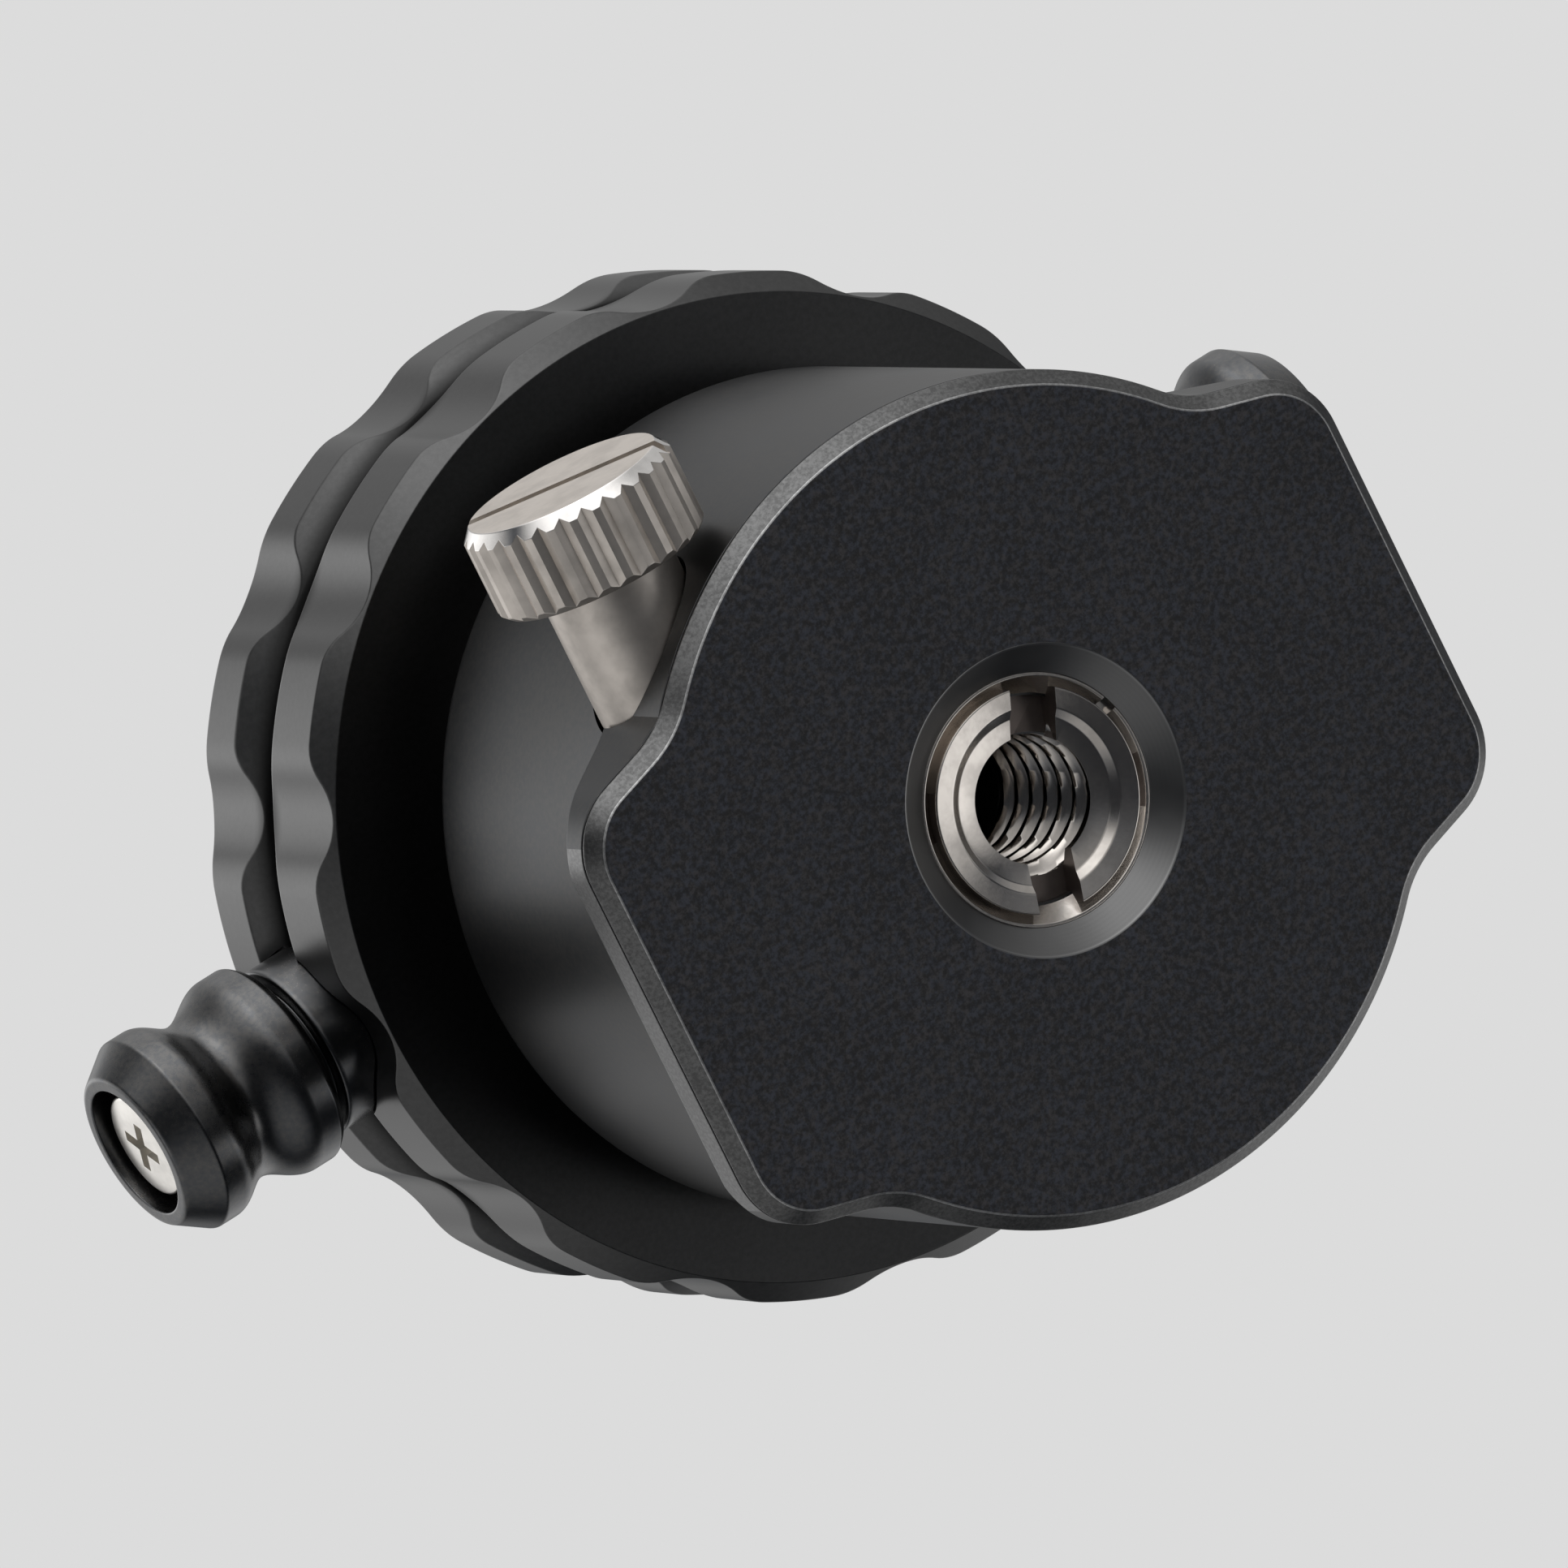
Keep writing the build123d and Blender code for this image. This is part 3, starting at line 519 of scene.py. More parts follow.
def wing_outline():
    """The plate's outline: round, with two wings that taper to flats at +X and -X.

    Returns points and outward normals, anticlockwise. One quarter is a flat, a
    corner arc, the wing's straight edge, a hollow arc and the round part; the
    other three are its reflections."""
    way = np.array([-math.cos(wing_slope), math.sin(wing_slope)])
    out = np.array([math.sin(wing_slope), math.cos(wing_slope)])
    tip = np.array([plate_half, wing_tip_half])
    corner_up = wing_tip_half + wing_corner * math.tan(wing_slope) - wing_corner / math.cos(wing_slope)
    corner = np.array([plate_half - wing_corner, corner_up])
    lift = out @ tip + wing_blend
    hollow = out * lift - way * math.sqrt((plate_radius + wing_blend) ** 2 - lift ** 2)
    slope_angle = math.pi / 2 - wing_slope
    meet = math.atan2(hollow[1], hollow[0])
    flat = np.stack([np.full(9, plate_half), np.linspace(0, corner[1], 9)], -1)[:-1]
    bend, bend_out = arc(corner, wing_corner, 0, slope_angle, 17)
    start, end = bend[-1], hollow - out * wing_blend
    edge = start + (end - start) * np.linspace(0, 1, 9)[1:-1, None]
    dip, dip_way = arc(hollow, wing_blend, slope_angle + math.pi, meet + math.pi, 13)
    round_part, round_out = arc((0, 0), plate_radius, meet, math.pi / 2, 40)
    points = np.concatenate([flat, bend, edge, dip, round_part[1:]])
    normals = np.concatenate([np.tile([1.0, 0.0], (len(flat), 1)), bend_out,
                              np.tile(out, (len(edge), 1)), -dip_way, round_out[1:]])
    mirror_x, mirror_y = np.array([-1, 1]), np.array([1, -1])
    half = np.concatenate([points, (points * mirror_x)[-2::-1]])
    half_out = np.concatenate([normals, (normals * mirror_x)[-2::-1]])
    whole = np.concatenate([half, (half * mirror_y)[-2:0:-1]])
    whole_out = np.concatenate([half_out, (half_out * mirror_y)[-2:0:-1]])
    return whole, whole_out


outline, outline_out = wing_outline()
outline_angle = np.arctan2(outline[:, 1], outline[:, 0])


def outline_row(inset, z):
    """The plate's outline, moved inwards by inset, at height z."""
    flat = outline - outline_out * inset
    return np.concatenate([flat, np.full((len(flat), 1), float(z))], 1)


def round_row(radius, z):
    """A circle with its points on the same rays as the outline's."""
    return np.stack([radius * np.cos(outline_angle), radius * np.sin(outline_angle),
                     np.full(len(outline_angle), float(z))], -1)


ear_foot = seam + seam_gap
plate_rows = [
    round_row(socket_radius, socket_recess), round_row(countersink_radius, 0),
    outline_row(plate_bevel, 0), outline_row(0, plate_bevel), outline_row(0, seam),
    outline_row(seam_depth, seam), outline_row(seam_depth, ear_foot), round_row(core_radius, ear_foot),
    round_row(core_radius, plate_thickness), round_row(socket_radius, plate_thickness),
]
plate_breaks = [0.04, 0.05, 0.08, 0.05, 0.03] + [0] * 5
plate = skin("base_plate_face", softened(np.array(plate_rows), plate_breaks, True), True)
dressed(plate, "base", blasted, "black_anodised", "base_plate")
# The blasted face ends where the edge begins to turn, and the turn itself is paler: a painted highlight along
# the edge.
face_normal, highlight_normal = -0.985, -0.74               # Z of the normals where each one ends
centres, facings = faces_of(plate)
cone_slack = 0.02
in_cone = np.hypot(centres[:, 0], centres[:, 1]) < (countersink_radius + cone_slack) * MM
on_edge = (facings[:, 2] > face_normal) & ~in_cone
painted_highlight = on_edge & (facings[:, 2] < highlight_normal)
painted(plate, in_cone + 2 * on_edge + painted_highlight, cone_grey, plate_edge, edge_highlight)

# ------------------------------------------------------------------ housing
hub_bore, hub_chamfer, core_gap = hub_radius - 2, 0.3, 0.05
cup_profile = [
    (core_radius + core_gap, ear_foot), (housing_radius, ear_foot),
    (housing_radius, housing_top), (wall_bore, housing_top), (wall_bore, housing_floor),
    (hub_radius, housing_floor), (hub_radius, hub_top), (hub_bore, hub_top),
    (hub_bore, plate_thickness + hub_chamfer), (hub_radius, plate_thickness),
]
cup = lathe("cup", cup_profile, [0, 0.06, 0.16, 0.1, 0.05, 0.05, 0.3, 0, 0, 0], 360)


def ear_rows():
    """The ears' skin: up the outline's edge, then at 45 degrees to the cup.

    The slope is the lower of the turned cone z = foot + foot radius - r and
    the dovetail plane z = foot + half width - |x|. Where the outline runs along
    the cup's own wall it is sunk a little into it."""
    def slope_z(x, y):
        cone = cone_foot + cone_foot_radius - np.hypot(x, y)
        return np.minimum(cone, cone_foot + plate_half - np.abs(x))

    inner, sink, sink_ends, slope_steps = 16.6, 0.12, 0.25, 12
    reach = np.hypot(outline[:, 0], outline[:, 1])
    reach = reach - sink * np.clip(1 - (reach - housing_radius) / sink_ends, 0, 1)
    x, y = reach * np.cos(outline_angle), reach * np.sin(outline_angle)
    rows = [round_row(inner, ear_foot), np.stack([x, y, np.full(len(x), ear_foot)], -1),
            np.stack([x, y, slope_z(x, y)], -1)]
    for t in np.linspace(0, 1, slope_steps + 1)[1:]:
        r = np.maximum(reach + (inner - reach) * t, inner)
        x, y = r * np.cos(outline_angle), r * np.sin(outline_angle)
        rows.append(np.stack([x, y, slope_z(x, y)], -1))
    return np.array(rows)


ears_stack = ear_rows()
ears_breaks = [0, 0.06, 0.06] + [0] * (len(ears_stack) - 3)
ears = skin("ears", softened(ears_stack, ears_breaks, True), True)
hole_start, hole_end = -25, -1.0                       # along the thumb screw's axis
lock_hole = [(0, hole_start), (lock_bore, hole_start), (lock_bore, hole_end), (0, hole_end)]
for shell in (cup, ears):
    cut(shell, lathe("lock_hole", lock_hole, 0, 96, along_screw, False))
housing = smooth(joined("housing_shell", [cup, ears]))
dressed(housing, "base", satin, "grey_anodised", "housing")
# The two flats are cut, so they are paler.
flat_normal, flat_depth = 0.8, 0.4
centres, facings = faces_of(housing)
faces_side = np.abs(facings[:, 0]) > flat_normal
at_flat = np.abs(centres[:, 0]) > (plate_half - flat_depth) * MM
painted(housing, faces_side & at_flat, ear_side)


# --------------------------------------------------------- reducer bushing
def thread_rows(crest, depth, low, high, inward=True, points=96):
    """Rows of a screw thread: the radius follows a rounded V, 3g^2 - 2g^3 of a
    straight-sided one, that climbs by one pitch a turn and fades at both ends."""
    steps_per_pitch, root_width, vee_slope, fade_length = 12, 1.25, 3.2, 0.5
    a = np.arange(points) * TURN / points
    rows = []
    for z in np.arange(low, high + 1e-6, thread_pitch / steps_per_pitch):
        phase = (z / thread_pitch - a / TURN) % 1.0
        groove = np.clip(root_width - np.abs(phase - 0.5) * vee_slope, 0, 1)
        groove = groove * groove * (3 - 2 * groove)
        fade = np.clip(min(z - low, high - z) / (fade_length * thread_pitch), 0, 1)
        r = crest + (depth if inward else -depth) * groove * fade
        rows.append(np.stack([r * np.cos(a), r * np.sin(a), np.full(points, z)], -1))
    return rows


# The bushing's face is a shallow dish in three rings: face, step and mouth. The
# socket's steel edge runs round it and slopes down to it, and is staked in one place.
bushing_top = bushing_recess + bushing_length
face_edge, face_height, step_edge, step_height = 4.6, 0.7, 3.78, 0.8
mouth_edge, mouth_rim, mouth_height = 3.42, 1.04, 1.2
tube_bore, tube_chamfer, tube_thread, thread_sharp = thread_crest + 0.02, 0.3, 0.62, 42
tube = circles([(tube_bore, mouth_height), (mouth_edge, mouth_rim), (step_edge, step_height),
                (face_edge, face_height), (face_edge, bushing_top),
                (thread_crest + tube_chamfer, bushing_top), (tube_bore, bushing_top - tube_chamfer)], 144)
tube = softened(tube, [0, 0.04, 0.04, 0.06, 0.1, 0.05, 0])
threads = thread_rows(thread_crest, tube_thread, mouth_height, bushing_top - tube_chamfer, points=144)
slotted = skin("slotted_tube", np.concatenate([tube, np.array(threads[::-1])]), True, thread_sharp)
# The screwdriver slot lies a little off the axis.
slot_turn, slot_sides, slot_depth = math.radians(110.2), (-1.41, 0.62), 1.4
slot = block("slot", (-through, slot_sides[0], -1), (through, slot_sides[1], slot_depth),
             slot_turn, (0, 0, face_height))
cut(slotted, slot, sharp=thread_sharp)
edging_flat, edging_bore, edging_foot, edging_wall = 0.12, 4.3, 1.62, 0.4
edging = lathe("socket_edging", [
    (socket_radius, socket_recess), (socket_radius - edging_flat, socket_recess), (edging_bore, edging_foot),
    (edging_bore, edging_foot + edging_wall), (socket_radius, edging_foot + edging_wall),
], [0.02, 0.02, 0, 0, 0], 144)
stake_low, stake_high, stake_turn = (4.25, -0.3, -1), (5.5, 0.34, 0.45), math.radians(-21.0)
cut(edging, block("stake", stake_low, stake_high, stake_turn, (0, 0, socket_recess)))
bushing = joined("slotted_bushing", [slotted, edging])
smooth(bushing, thread_sharp)
dressed(bushing, "base", steel, "bright_steel", "reducer_bushing")
# The slot's walls and floor are rougher, and darker: painted shade in the slot.
across = np.array([-math.sin(slot_turn), math.cos(slot_turn), 0])
centres, facings = faces_of(bushing)
wall_normal, floor_slack, thread_slack = 0.98, 1e-6, 0.05
on_wall = np.abs(facings @ across) > wall_normal
on_floor = np.abs(centres[:, 2] - (face_height + slot_depth) * MM) < floor_slack
past_thread = np.hypot(centres[:, 0], centres[:, 1]) > (thread_crest + thread_slack) * MM
painted(bushing, (on_wall | on_floor) & past_thread, slot_shade_steel)

# ------------------------------------------------------------ thumb screw
flutes, flute_depth, flute_sharp = 28, 0.22, 24
knurl_points, flute_width = flutes * 12, 1.5
seat_chamfer, shank_chamfer = 0.3, 0.5


def fluted(radius, y, depth, lean=0.0):
    """A ring of the knurled head: lands at radius, with V flutes cut by depth.

    With a lean, the ring lies on a cone: y goes back by lean times the depth of
    the cut, so the flutes end in a zigzag on the chamfer."""
    a = np.arange(knurl_points) * TURN / knurl_points
    phase = np.abs((a * flutes / TURN) % 1.0 - 0.5) * 2
    r = radius - depth * np.clip(1 - phase * flute_width, 0, 1)
    return along_screw(r * np.cos(a), r * np.sin(a), y - lean * (radius - r))


face_lean = head_chamfer / (head_radius - head_face_radius)
knurl_rows = [
    fluted(0.0, head_face, 0), fluted(head_face_radius, head_face, 0),
    fluted(head_radius, head_face + head_chamfer, flute_depth, face_lean),
    fluted(head_radius, head_seat - seat_chamfer, flute_depth, -1.0),
    fluted(head_radius - seat_chamfer, head_seat, 0),
    fluted(shank_radius, head_seat, 0), fluted(shank_radius, shank_end - shank_chamfer, 0),
    fluted(shank_radius - shank_chamfer, shank_end, 0), fluted(0.0, shank_end, 0),
]
knurl_breaks = [0, 0.04, 0.015, 0.03, 0.05, 0.2, 0.1, 0.1, 0]
knurled = skin("knurled_screw", softened(np.array(knurl_rows), knurl_breaks), False, flute_sharp)
slot_half, slot_floor, head_turn = 0.32, 0.6, math.radians(36.0)
head_slot = block("head_slot", (-through, -slot_half, -2), (through, slot_half, slot_floor), head_turn,
                  (0, 0, head_face), along_screw)
cut(knurled, head_slot, sharp=flute_sharp)
dressed(knurled, "screw", nickel, "nickel", "thumb_screw")
# The chamfer, between the side and the end face, is polished.
side_tilt, face_tilt = 0.3, 0.93
tilt = -faces_of(knurled)[1][:, 1]
painted(knurled, (tilt > side_tilt) & (tilt < face_tilt), polished_nickel)


# ---------------------------------------------------------------- lock ring
def scalloped():
    """Outline of the lock ring's crests: arcs of the crest circle, round-bottomed
    scallops cut by a circle of their own, and a blend between the two, which
    touches both. The angles come from the triangle of the three centres."""
    centre = ring_crest - scallop_depth + scallop_radius
    near, far = ring_crest - scallop_blend, scallop_radius + scallop_blend
    swing = math.acos((centre ** 2 + near ** 2 - far ** 2) / (2 * centre * near))
    blend = near * np.array([math.cos(swing), math.sin(swing)])
    touch = blend + (np.array([centre, 0]) - blend) * scallop_blend / far
    bite = math.atan2(touch[1], touch[0] - centre) % TURN
    hollow = np.linspace(math.pi, bite, 9)
    half = [np.stack([centre + scallop_radius * np.cos(hollow), scallop_radius * np.sin(hollow)], -1)]
    turn = np.linspace(math.atan2(touch[1] - blend[1], touch[0] - blend[0]), swing, 8)[1:]
    half.append(blend + scallop_blend * np.stack([np.cos(turn), np.sin(turn)], -1))
    crest = np.linspace(swing, math.pi / scallops, 7)[1:]
    half.append(ring_crest * np.stack([np.cos(crest), np.sin(crest)], -1))
    half = np.concatenate(half)
    one = np.concatenate([(half * [1, -1])[::-1][1:], half[1:]])
    angles = np.arange(scallops) * TURN / scallops
    turns = np.array([[np.cos(angles), np.sin(angles)], [-np.sin(angles), np.cos(angles)]])
    return np.einsum("pi,ijk->kpj", one, turns).reshape(-1, 2)


crests = scalloped()
crest_angle = np.arctan2(crests[:, 1], crests[:, 0])
crest_reach = np.hypot(crests[:, 0], crests[:, 1])


def ring_row(radius, z):
    """A row of the lock ring on the scallops' rays; radius and z may vary along it."""
    radius = np.broadcast_to(radius, crest_reach.shape)
    return np.stack([radius * np.cos(crest_angle), radius * np.sin(crest_angle),
                     np.broadcast_to(z, crest_reach.shape)], -1)


drop = (crest_reach - ring_face) / (ring_crest - ring_face) * ring_chamfer
flank = (ring_crest - crest_reach) / (ring_crest - groove_radius) * groove_flank
notch_half, notch_depth = 0.35, 0.6
notch_rise = notch_half / groove_flank * (ring_crest - groove_radius)
ring_rows = [
    ring_row(wall_bore, ring_front), ring_row(ring_face, ring_front),
    ring_row(crest_reach, ring_front + drop),
    ring_row(crest_reach, groove_z - groove_flank + flank),
    ring_row(groove_radius + notch_rise, groove_z - notch_half),
    ring_row(groove_radius - notch_depth, groove_z),
    ring_row(groove_radius + notch_rise, groove_z + notch_half),
    ring_row(crest_reach, groove_z + groove_flank - flank),
    ring_row(crest_reach, ring_back - drop), ring_row(ring_face, ring_back),
    ring_row(collar_radius, ring_back), ring_row(collar_radius, ring_back + collar_height),
    ring_row(lip_radius, ring_back + collar_height), ring_row(lip_radius, lip_under),
    ring_row(wall_bore, lip_under),
]
ring_breaks = [0.1, 0.03, 0.06, 0.08, 0.2, 0.04, 0.2, 0.08, 0.08, 0.12, 0.15, 0.3, 0.3, 0.08, 0.0]
ring = skin("scalloped_ring", softened(np.array(ring_rows), ring_breaks, True), True)
spot_radius, spot_end = 3.9, 26                        # a flat spot under each lever
spot = [(0, lever_seat), (spot_radius, lever_seat), (spot_radius, spot_end), (0, spot_end)]
seats = [lathe(f"lever_spot_{k}", spot, 0, 72, along_lever(side), False) for k, side in enumerate((1, -1))]
cut(ring, *seats)
dressed(ring, "ring", satin_ring, "grey_anodised", "lock_ring")

# ------------------------------------------------------------------ levers
inner_land, outer_land = (3.1, 4.0), (8.0, 8.85)      # from the lever's seat
inner_radius, waist_radius, outer_radius, waist_at = 4.5, 3.6, 4.4, 6.2


def swell(distance):
    """Radius of the lever's grip: two plain lands, with a hollow waist between.

    The waist is made of two half waves, each a raised cosine from its land down
    to the waist's radius."""
    down = np.clip((distance - inner_land[1]) / (waist_at - inner_land[1]), 0, 1)
    up = np.clip((distance - waist_at) / (outer_land[0] - waist_at), 0, 1)
    return (waist_radius + (inner_radius - waist_radius) * (0.5 + 0.5 * np.cos(math.pi * down))
            + (outer_radius - waist_radius) * (0.5 - 0.5 * np.cos(math.pi * up)))


grip_steps = np.concatenate([[inner_land[0]], np.linspace(inner_land[1], outer_land[0], 45), [outer_land[1]]])
grip = list(zip(swell(grip_steps).tolist(), (lever_seat + grip_steps).tolist()))
tip = lever_seat + lever_length
screw_bore, cup_radius, tip_radius = 1.57, 2.85, 3.4      # lever's bore, screw's cup and end face
collar, collar_end, neck, neck_end, shoulder = 3.8, lever_seat + 2.2, 3.1, lever_seat + 2.75, 4.2
screw_sink, screw_thick, screw_head, screw_shank = 0.42, 1.3, 2.3, 1.4
screw_face = tip - screw_sink
screw_under, screw_end = screw_face - screw_thick, lever_seat - 4
crown, crown_radius, crown_edge, rim_drop = 0.02, 1.2, 0.01, 0.1        # the screw's domed face
profile = ([(screw_bore, lever_seat), (collar, lever_seat), (collar, collar_end), (neck, collar_end),
            (neck, neck_end), (shoulder, neck_end)] + grip
           + [(tip_radius, tip), (cup_radius, tip), (cup_radius, screw_under), (screw_bore, screw_under)])
breaks = [0, 0.1, 0.18, 0.05, 0.05, 0.1, 0.08] + [0] * (len(grip) - 2) + [0.07, 0.12, 0.08, 0, 0]
domed = [(0, screw_face + crown), (crown_radius, screw_face + crown_edge),
         (screw_head, screw_face - rim_drop), (screw_head, screw_under),
         (screw_shank, screw_under), (screw_shank, screw_end), (0, screw_end)]
screw_breaks = [0, 0, 0.12, 0.05, 0, 0, 0]
cross_half, cross_width, cross_deep, cross_turn, cross_sharp = 1.15, 0.26, 1, 62, 45
for side, hand in ((-1, "left"), (1, "right")):
    lever = lathe(f"lever_grip_{hand}", profile, breaks, 160, along_lever(side))
    dressed(lever, "ring", satin_lever, "black_satin", f"lever_{hand}")
    cross_screw = lathe(f"cross_screw_{hand}", domed, screw_breaks, 72, along_lever(side), False)
    bars = [block(f"bar_{hand}_{k}", (-cross_half, -cross_width, -0.5), (cross_half, cross_width, cross_deep),
                  math.radians(cross_turn + 90 * k), (0, 0, screw_face), along_lever(side))
            for k in (0, 1)]
    cut(cross_screw, *bars, sharp=cross_sharp)
    dressed(cross_screw, "ring", screw_steel, "bright_steel", f"lever_screw_{hand}")

# ---------------------------------------------------------- rotor and seats
rotor_bore, rotor_bottom, rotor_chamfer = hub_radius + 0.08, 10.0, 0.4
upper_bore, upper_floor, lower_floor, well_radius, well_floor = 13.95, 30.9, 17.2, 9.9, 13.2
rotor = lathe("rotor_neck", [
    (rotor_bore, rotor_bottom), (rotor_radius - rotor_chamfer, rotor_bottom),
    (rotor_radius, rotor_bottom + rotor_chamfer), (rotor_radius, rotor_top), (upper_bore, rotor_top),
    (upper_bore, upper_floor), (seat_bore, upper_floor), (seat_bore, lower_floor),
    (well_radius, lower_floor), (well_radius, well_floor), (rotor_bore, well_floor)], 0.06, 256)
dressed(rotor, "rotor", satin, "black_anodised", "pan_rotor")
seat_radius, seat_bottom, seat_top = 13.87, 31.1, 34.0
seat_mouth, seat_middle, seat_lip, middle_z = 12.57, 12.2, 11.8, 32.6      # close round the ball
upper = lathe("upper_ball_seat", [
    (seat_mouth, seat_bottom), (seat_radius, seat_bottom), (seat_radius, seat_top), (seat_lip, seat_top),
    (seat_middle, middle_z),
], [0.05, 0.1, 0.1, 0.05, 0], 192)
dressed(upper, "clamp", acetal, "bearing_plastic", "upper_seat")

# ------------------------------------------------- ball, stem and platform
polar = np.linspace(0, math.pi - math.acos(ball_flat / ball_radius), 90)
globe = [(ball_radius * math.sin(a), ball_height - ball_radius * math.cos(a)) for a in polar]
ball_top, stem_hole, hole_depth = ball_height + ball_flat, 4.2, 1
globe_profile = globe + [(stem_hole, ball_top), (stem_hole, ball_top - hole_depth),
                         (0, ball_top - hole_depth)]
globe_breaks = [0] * (len(globe) - 1) + [0.15, 0.1, 0, 0]
smooth_ball = lathe("smooth_ball", globe_profile, globe_breaks, 192, loop=False)
ball_finish = satin_black("hard_anodised_ball", 0.16, 0.2, 0.0006)
dressed(smooth_ball, "ball", ball_finish, "polished_ball", "ball")
spigot_radius, spigot_end, flare_height, flare_width = 3.95, 36.0, 1.1, 1.4
stem = lathe("stem", [
    (0, spigot_end), (spigot_radius, spigot_end), (spigot_radius, stem_bottom), (stem_radius, stem_bottom),
    (stem_radius, stem_top - flare_height), (stem_radius + flare_width, stem_top), (0, stem_top),
], [0, 0, 0.05, 0.15, 0.3, 0.05, 0], 128, loop=False)
dressed(stem, "head", ball_finish, "polished_ball", "ball_stem")
under_chamfer, rim_chamfer, pad_well, platform_bore = 1.1, 0.35, 0.6, 3.0
table_top = lathe("round_platform", [
    (platform_bore, stem_top), (platform_radius - under_chamfer, stem_top),
    (platform_radius, stem_top + under_chamfer), (platform_radius, platform_top - rim_chamfer),
    (platform_radius - rim_chamfer, platform_top), (pad_radius, platform_top),
    (pad_radius, platform_top - pad_well), (platform_bore, platform_top - pad_well),
], [0, 0.15, 0.1, 0.08, 0.08, 0.06, 0.05, 0], 256)
dressed(table_top, "head", satin, "black_anodised", "platform")
# Concentric ribs: the squared raised cosine of the way in from the outermost one.
pad_foot, pad_eye, pad_edge = 46.0, 4.4, 13.25
rib_pitch, rib_depth, ribs_from, ribs_to = 0.91, 0.22, 12.9, 4.7
ribs = [(float(r), pad_face - rib_depth * (0.5 - 0.5 * math.cos(TURN * (ribs_from - r) / rib_pitch)) ** 2)
        for r in np.linspace(ribs_from, ribs_to, 165)]
pad = lathe("ribbed_pad", [(pad_eye, pad_foot), (pad_edge, pad_foot), (pad_edge, pad_face)] + ribs
            + [(pad_eye, pad_face)], [0, 0, 0.1] + [0] * len(ribs) + [0.08], 192)
dressed(pad, "head", rubber, "rubber", "platform_pad")
thread_depth, tip_chamfer = 0.5, 0.6
stud_rows = circles([(0, pad_foot), (stud_radius, pad_foot)], 96)
stud_threads = np.array(thread_rows(stud_radius, thread_depth, pad_foot + 0.3, stud_top - tip_chamfer, False))
stud_tip = circles([(stud_radius - thread_depth, stud_top), (0, stud_top)], 96)
stud = skin("threaded_stud", np.concatenate([stud_rows, stud_threads, stud_tip]), False, 50)
dressed(stud, "head", steel, "bright_steel", "camera_stud")

# ------------------------------------ inner pieces that keep the CAD's shape
inner_finishes = {
    "base_dowels": plain_steel, "brake_shoe": brass, "brake_plunger": brass, "brake_pad": acetal,
    "lower_thrust_washer": acetal, "upper_thrust_washer": acetal, "hub_nut": plain_steel,
    "dust_seal": felt, "disc_spring": plain_steel, "lower_seat": acetal,
}
for node, finish in inner_finishes.items():
    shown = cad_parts[node]
    shown.data.materials.clear()
    shown.data.materials.append(finish)

# ------------------------------------------------------------------- camera
# The view looks at the base plate from below, turned a little off its axis.
yaw, pitch, roll = math.radians(26.61), math.radians(-1.29), math.radians(29.55)
plate_offset = np.array([10.5, 0.659, 900.0])      # plate's centre, right, down and away, mm
lens, sensor = 516.5, 36.0
aim_height = 20.0
face_out = np.array([math.sin(yaw) * math.cos(pitch), -math.sin(pitch), -math.cos(yaw) * math.cos(pitch)])
face_right = np.array([math.cos(yaw), 0, math.sin(yaw)])
face_up = np.cross(face_out, face_right)
to_view = np.stack([face_right, face_up, face_out], 1) @ np.array([
    [math.cos(roll), math.sin(roll), 0], [math.sin(roll), -math.cos(roll), 0], [0, 0, -1]])
view_right, view_up, towards_camera = to_view[0], -to_view[1], -to_view[2]


def studio(right, up, near):
    """A point of the part's frame: so many mm right, up and near, as the camera
    sees it, from a point 20 mm up the panning axis."""
    return np.array([0, 0, aim_height]) + right * view_right + up * view_up + near * towards_camera


def facing(obj, right, up, back, where):
    """Stands an object at a point with its axes along three directions."""
    turn = Matrix([list(row) for row in np.stack([right, up, back], 1)]).to_4x4()
    turn.translation = [c * MM for c in where]
    obj.matrix_world = turn


camera_data = bpy.data.cameras.new("camera")
camera_data.lens, camera_data.sensor_width = lens, sensor
camera_data.clip_start, camera_data.clip_end = 0.01, 20.0
camera = bpy.data.objects.new("camera", camera_data)
bpy.context.scene.collection.objects.link(camera)
bpy.context.scene.camera = camera
facing(camera, view_right, view_up, towards_camera, -to_view.T @ plate_offset)


# ------------------------------------------------------------ studio lights
# A soft lamp at the upper left and near, aimed at the head. Its highest corner stands
# about 19 mm above the floor's level, and its other three are under it.
lamp_place = studio(-260, 560, 300)
lamp_width, lamp_height, lamp_watts = 200, 280, 0.22
lamp_data = bpy.data.lights.new("key_softbox", "AREA")
lamp_data.shape, lamp_data.size, lamp_data.size_y = "RECTANGLE", lamp_width * MM, lamp_height * MM
lamp_data.energy = lamp_watts
lamp = bpy.data.objects.new("key_softbox", lamp_data)
bpy.context.scene.collection.objects.link(lamp)
lamp_back = lamp_place - studio(0, 0, 0)
lamp_back /= np.linalg.norm(lamp_back)
lamp_side = np.cross(view_up, lamp_back)
lamp_side /= np.linalg.norm(lamp_side)
facing(lamp, lamp_side, np.cross(lamp_back, lamp_side), lamp_back, lamp_place)

world = bpy.data.worlds.new("studio")
bpy.context.scene.world = world
w = Finish(world)
heading = w.node("ShaderNodeTexCoord", out="Generated")


def towards(direction):
    """How far a ray heads along a direction, -1 to 1."""
    return w.node("ShaderNodeVectorMath", {"operation": "DOT_PRODUCT"}, heading,
                  tuple(float(c) for c in direction), out="Value")


def lit_from(right, up, near, start, end):
    """A soft patch round a direction as the camera sees it, 0 to 1: start and end
    are the cosines of the angles from it where the patch begins and is full."""
    way = right * view_right + up * view_up + near * towards_camera
    return towards(way / np.linalg.norm(way)).over(start, end)


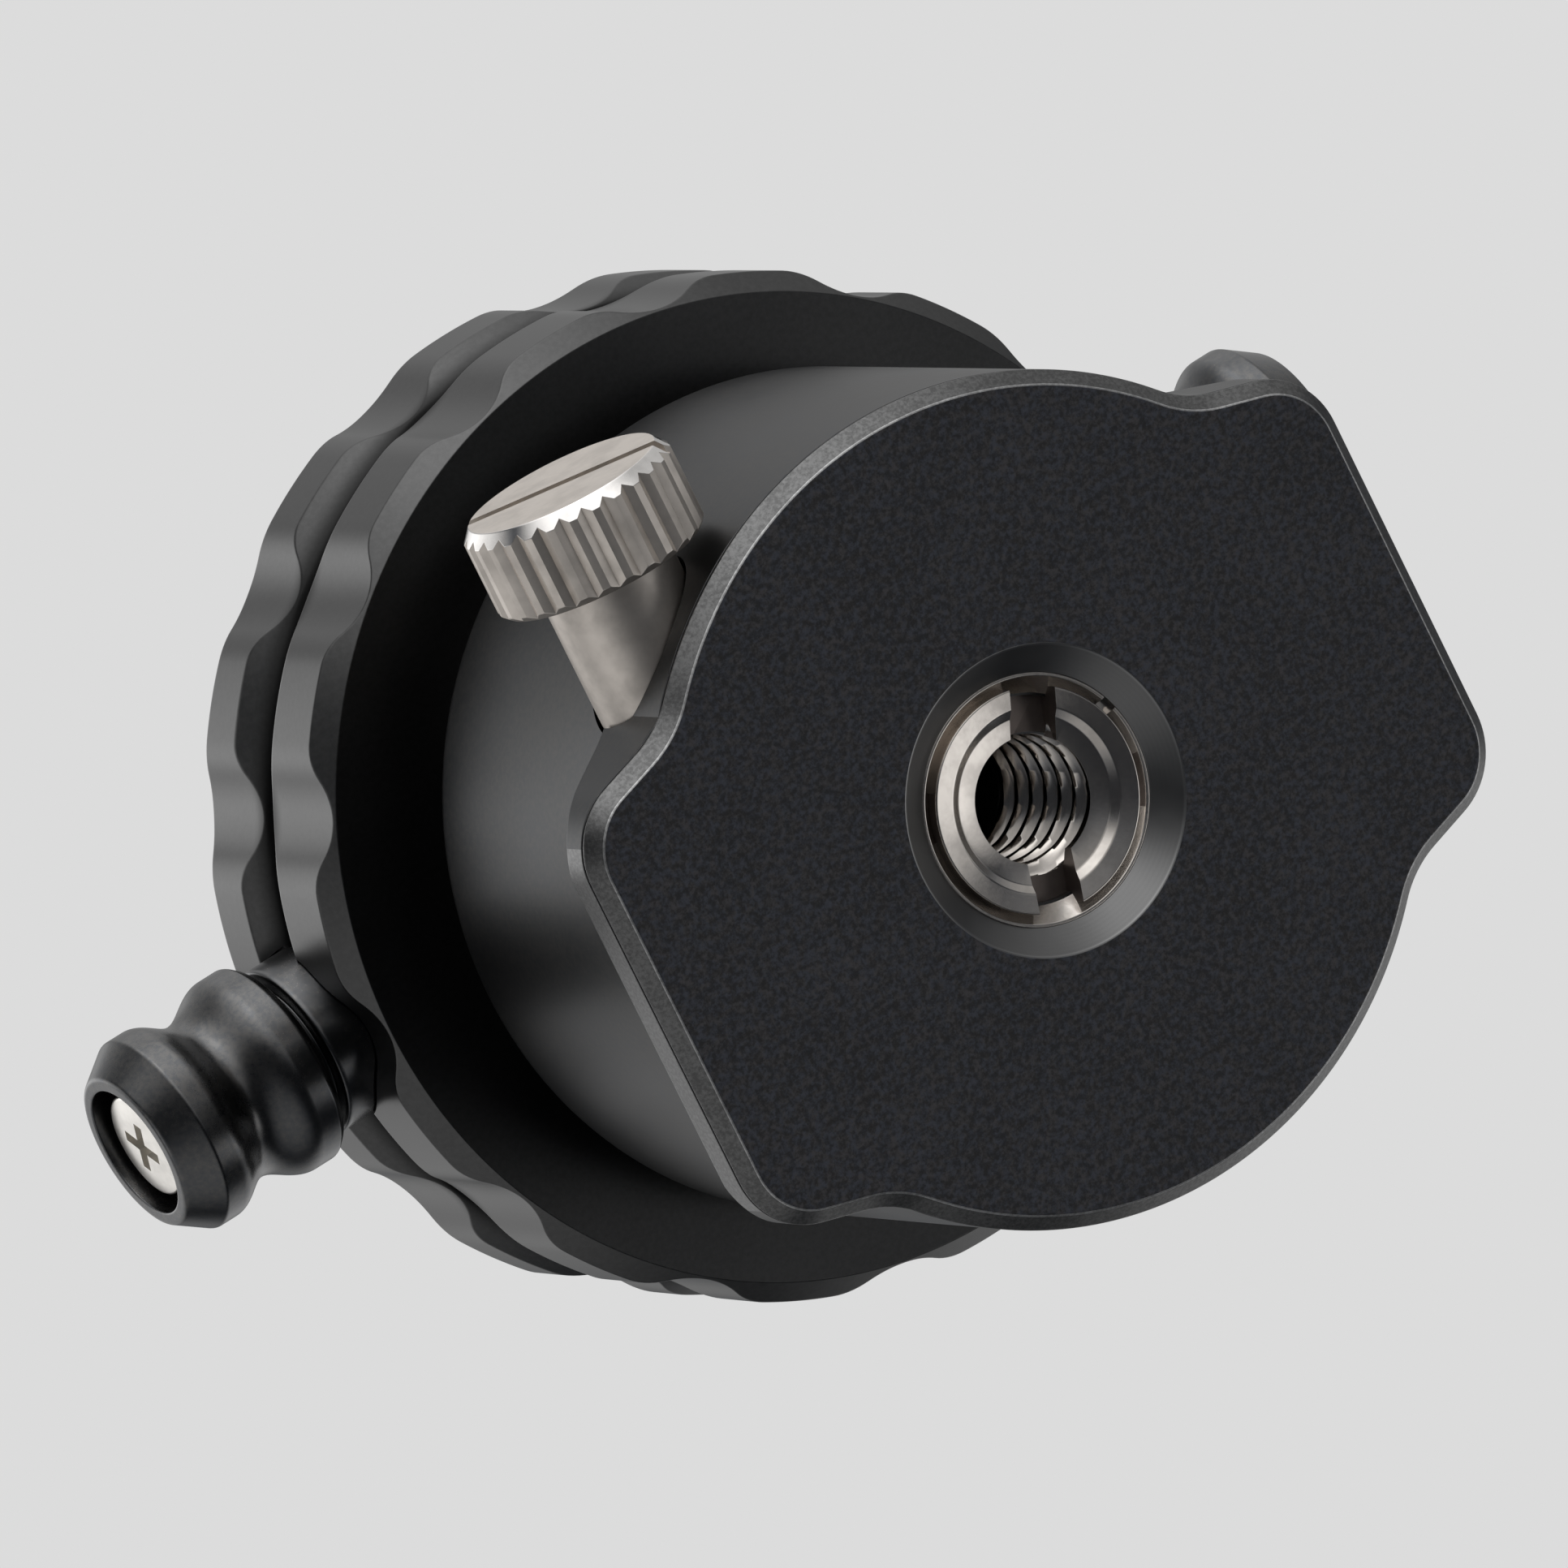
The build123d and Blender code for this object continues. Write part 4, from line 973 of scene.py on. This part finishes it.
# The room: a pale sweep behind that darkens towards the bottom, a pale wall to the
# left, soft patches of light, and a faint level everywhere else.
backdrop, faint, sweep_strength, wall_strength = 0.716, 0.032, 0.34, 1.15
above = towards(view_up)
sweep = lit_from(-0.25, 0.1, -0.97, 0.45, 0.95) * above.over(-0.45, 0.35)
wall = lit_from(-0.88, -0.03, -0.47, 0.66, 0.97) * (1 - above.size().over(0.1, 0.4))
patches = [      # right, up, near, start, end, strength
    (-0.38, 0.82, 0.42, 0.66, 0.98, 1.6),         # the key light, upper left and near
    (-0.5, 0.78, -0.38, 0.78, 1.0, 0.55),         # upper left, behind
    (0.1, 0.97, -0.22, 0.55, 1.0, 0.65),          # overhead
    (-0.6, -0.4, -0.7, 0.74, 1.0, 0.75),          # lower left, behind
    (-0.35, -0.9, 0.3, 0.6, 1.0, 0.55),           # underneath
    (0.55, 0.45, 0.7, 0.86, 1.0, 0.35),           # upper right, near
    (0.1, 0.5, 0.85, 0.86, 1.0, 0.4),             # over the camera
    (0.95, -0.15, 0.27, 0.93, 0.995, 1.1),        # right, narrow
    (0.98, 0.0, -0.2, 0.84, 1.0, 0.5),            # right
    (0.5, -0.45, -0.74, 0.8, 1.0, 0.8),           # lower right, behind
    (-0.8, -0.38, 0.48, 0.86, 1.0, 0.5),          # left, near
]
tent = sweep * sweep_strength + wall * wall_strength + faint
for *where, strength in patches:
    tent = tent + lit_from(*where) * strength
ray = w.tree.nodes.new("ShaderNodeLightPath")
mirrored = Signal(w, ray.outputs["Is Glossy Ray"]) + Signal(w, ray.outputs["Is Transmission Ray"])
mirrored_share = 0.25            # how much of the backdrop's own level the metal shows
shows_backdrop = (Signal(w, ray.outputs["Is Camera Ray"]) + mirrored * sweep * mirrored_share).clamped()
level = tent * (1 - shows_backdrop) + shows_backdrop * backdrop
# Dim parts of the room are slightly blue.
cool = w.mix((level * 3.0).clamped(), (0.9, 0.98, 1.12, 1), (1, 1, 1, 1))
shade = w.node("ShaderNodeBackground", None, Color=cool, Strength=level)
w.node("ShaderNodeOutputWorld", None, Surface=shade)

# -------------------------------------------------------------------- floor
# The camera alone sees the floor, and from above alone, so that the base can be
# seen from below.
floor_reach, floor_z, floor_grey = 3.0, -2e-5, 0.78   # reach and height in metres
floor_corners = [(x * floor_reach, y * floor_reach, floor_z) for x, y in ((-1, -1), (1, -1), (1, 1), (-1, 1))]
floor_mesh = bpy.data.meshes.new("floor")
floor_mesh.from_pydata(floor_corners, [], [(0, 1, 2, 3)])
floor = bpy.data.objects.new("floor", floor_mesh)
bpy.context.scene.collection.objects.link(floor)
floor_finish = bpy.data.materials.new("pale_floor")
g = Finish(floor_finish)
matt = g.node("ShaderNodeBsdfDiffuse", None, Color=grey(floor_grey))
clear = g.node("ShaderNodeBsdfTransparent")
back_side = g.node("ShaderNodeNewGeometry", out="Backfacing")
paths = g.tree.nodes.new("ShaderNodeLightPath")
hidden = (1 - Signal(g, paths.outputs["Is Camera Ray"]) * (1 - back_side)).clamped()
g.node("ShaderNodeOutputMaterial", None, Surface=g.node("ShaderNodeMixShader", None, hidden, matt, clear))
floor_mesh.materials.append(floor_finish)

bpy.context.scene.view_settings.view_transform = "Standard"
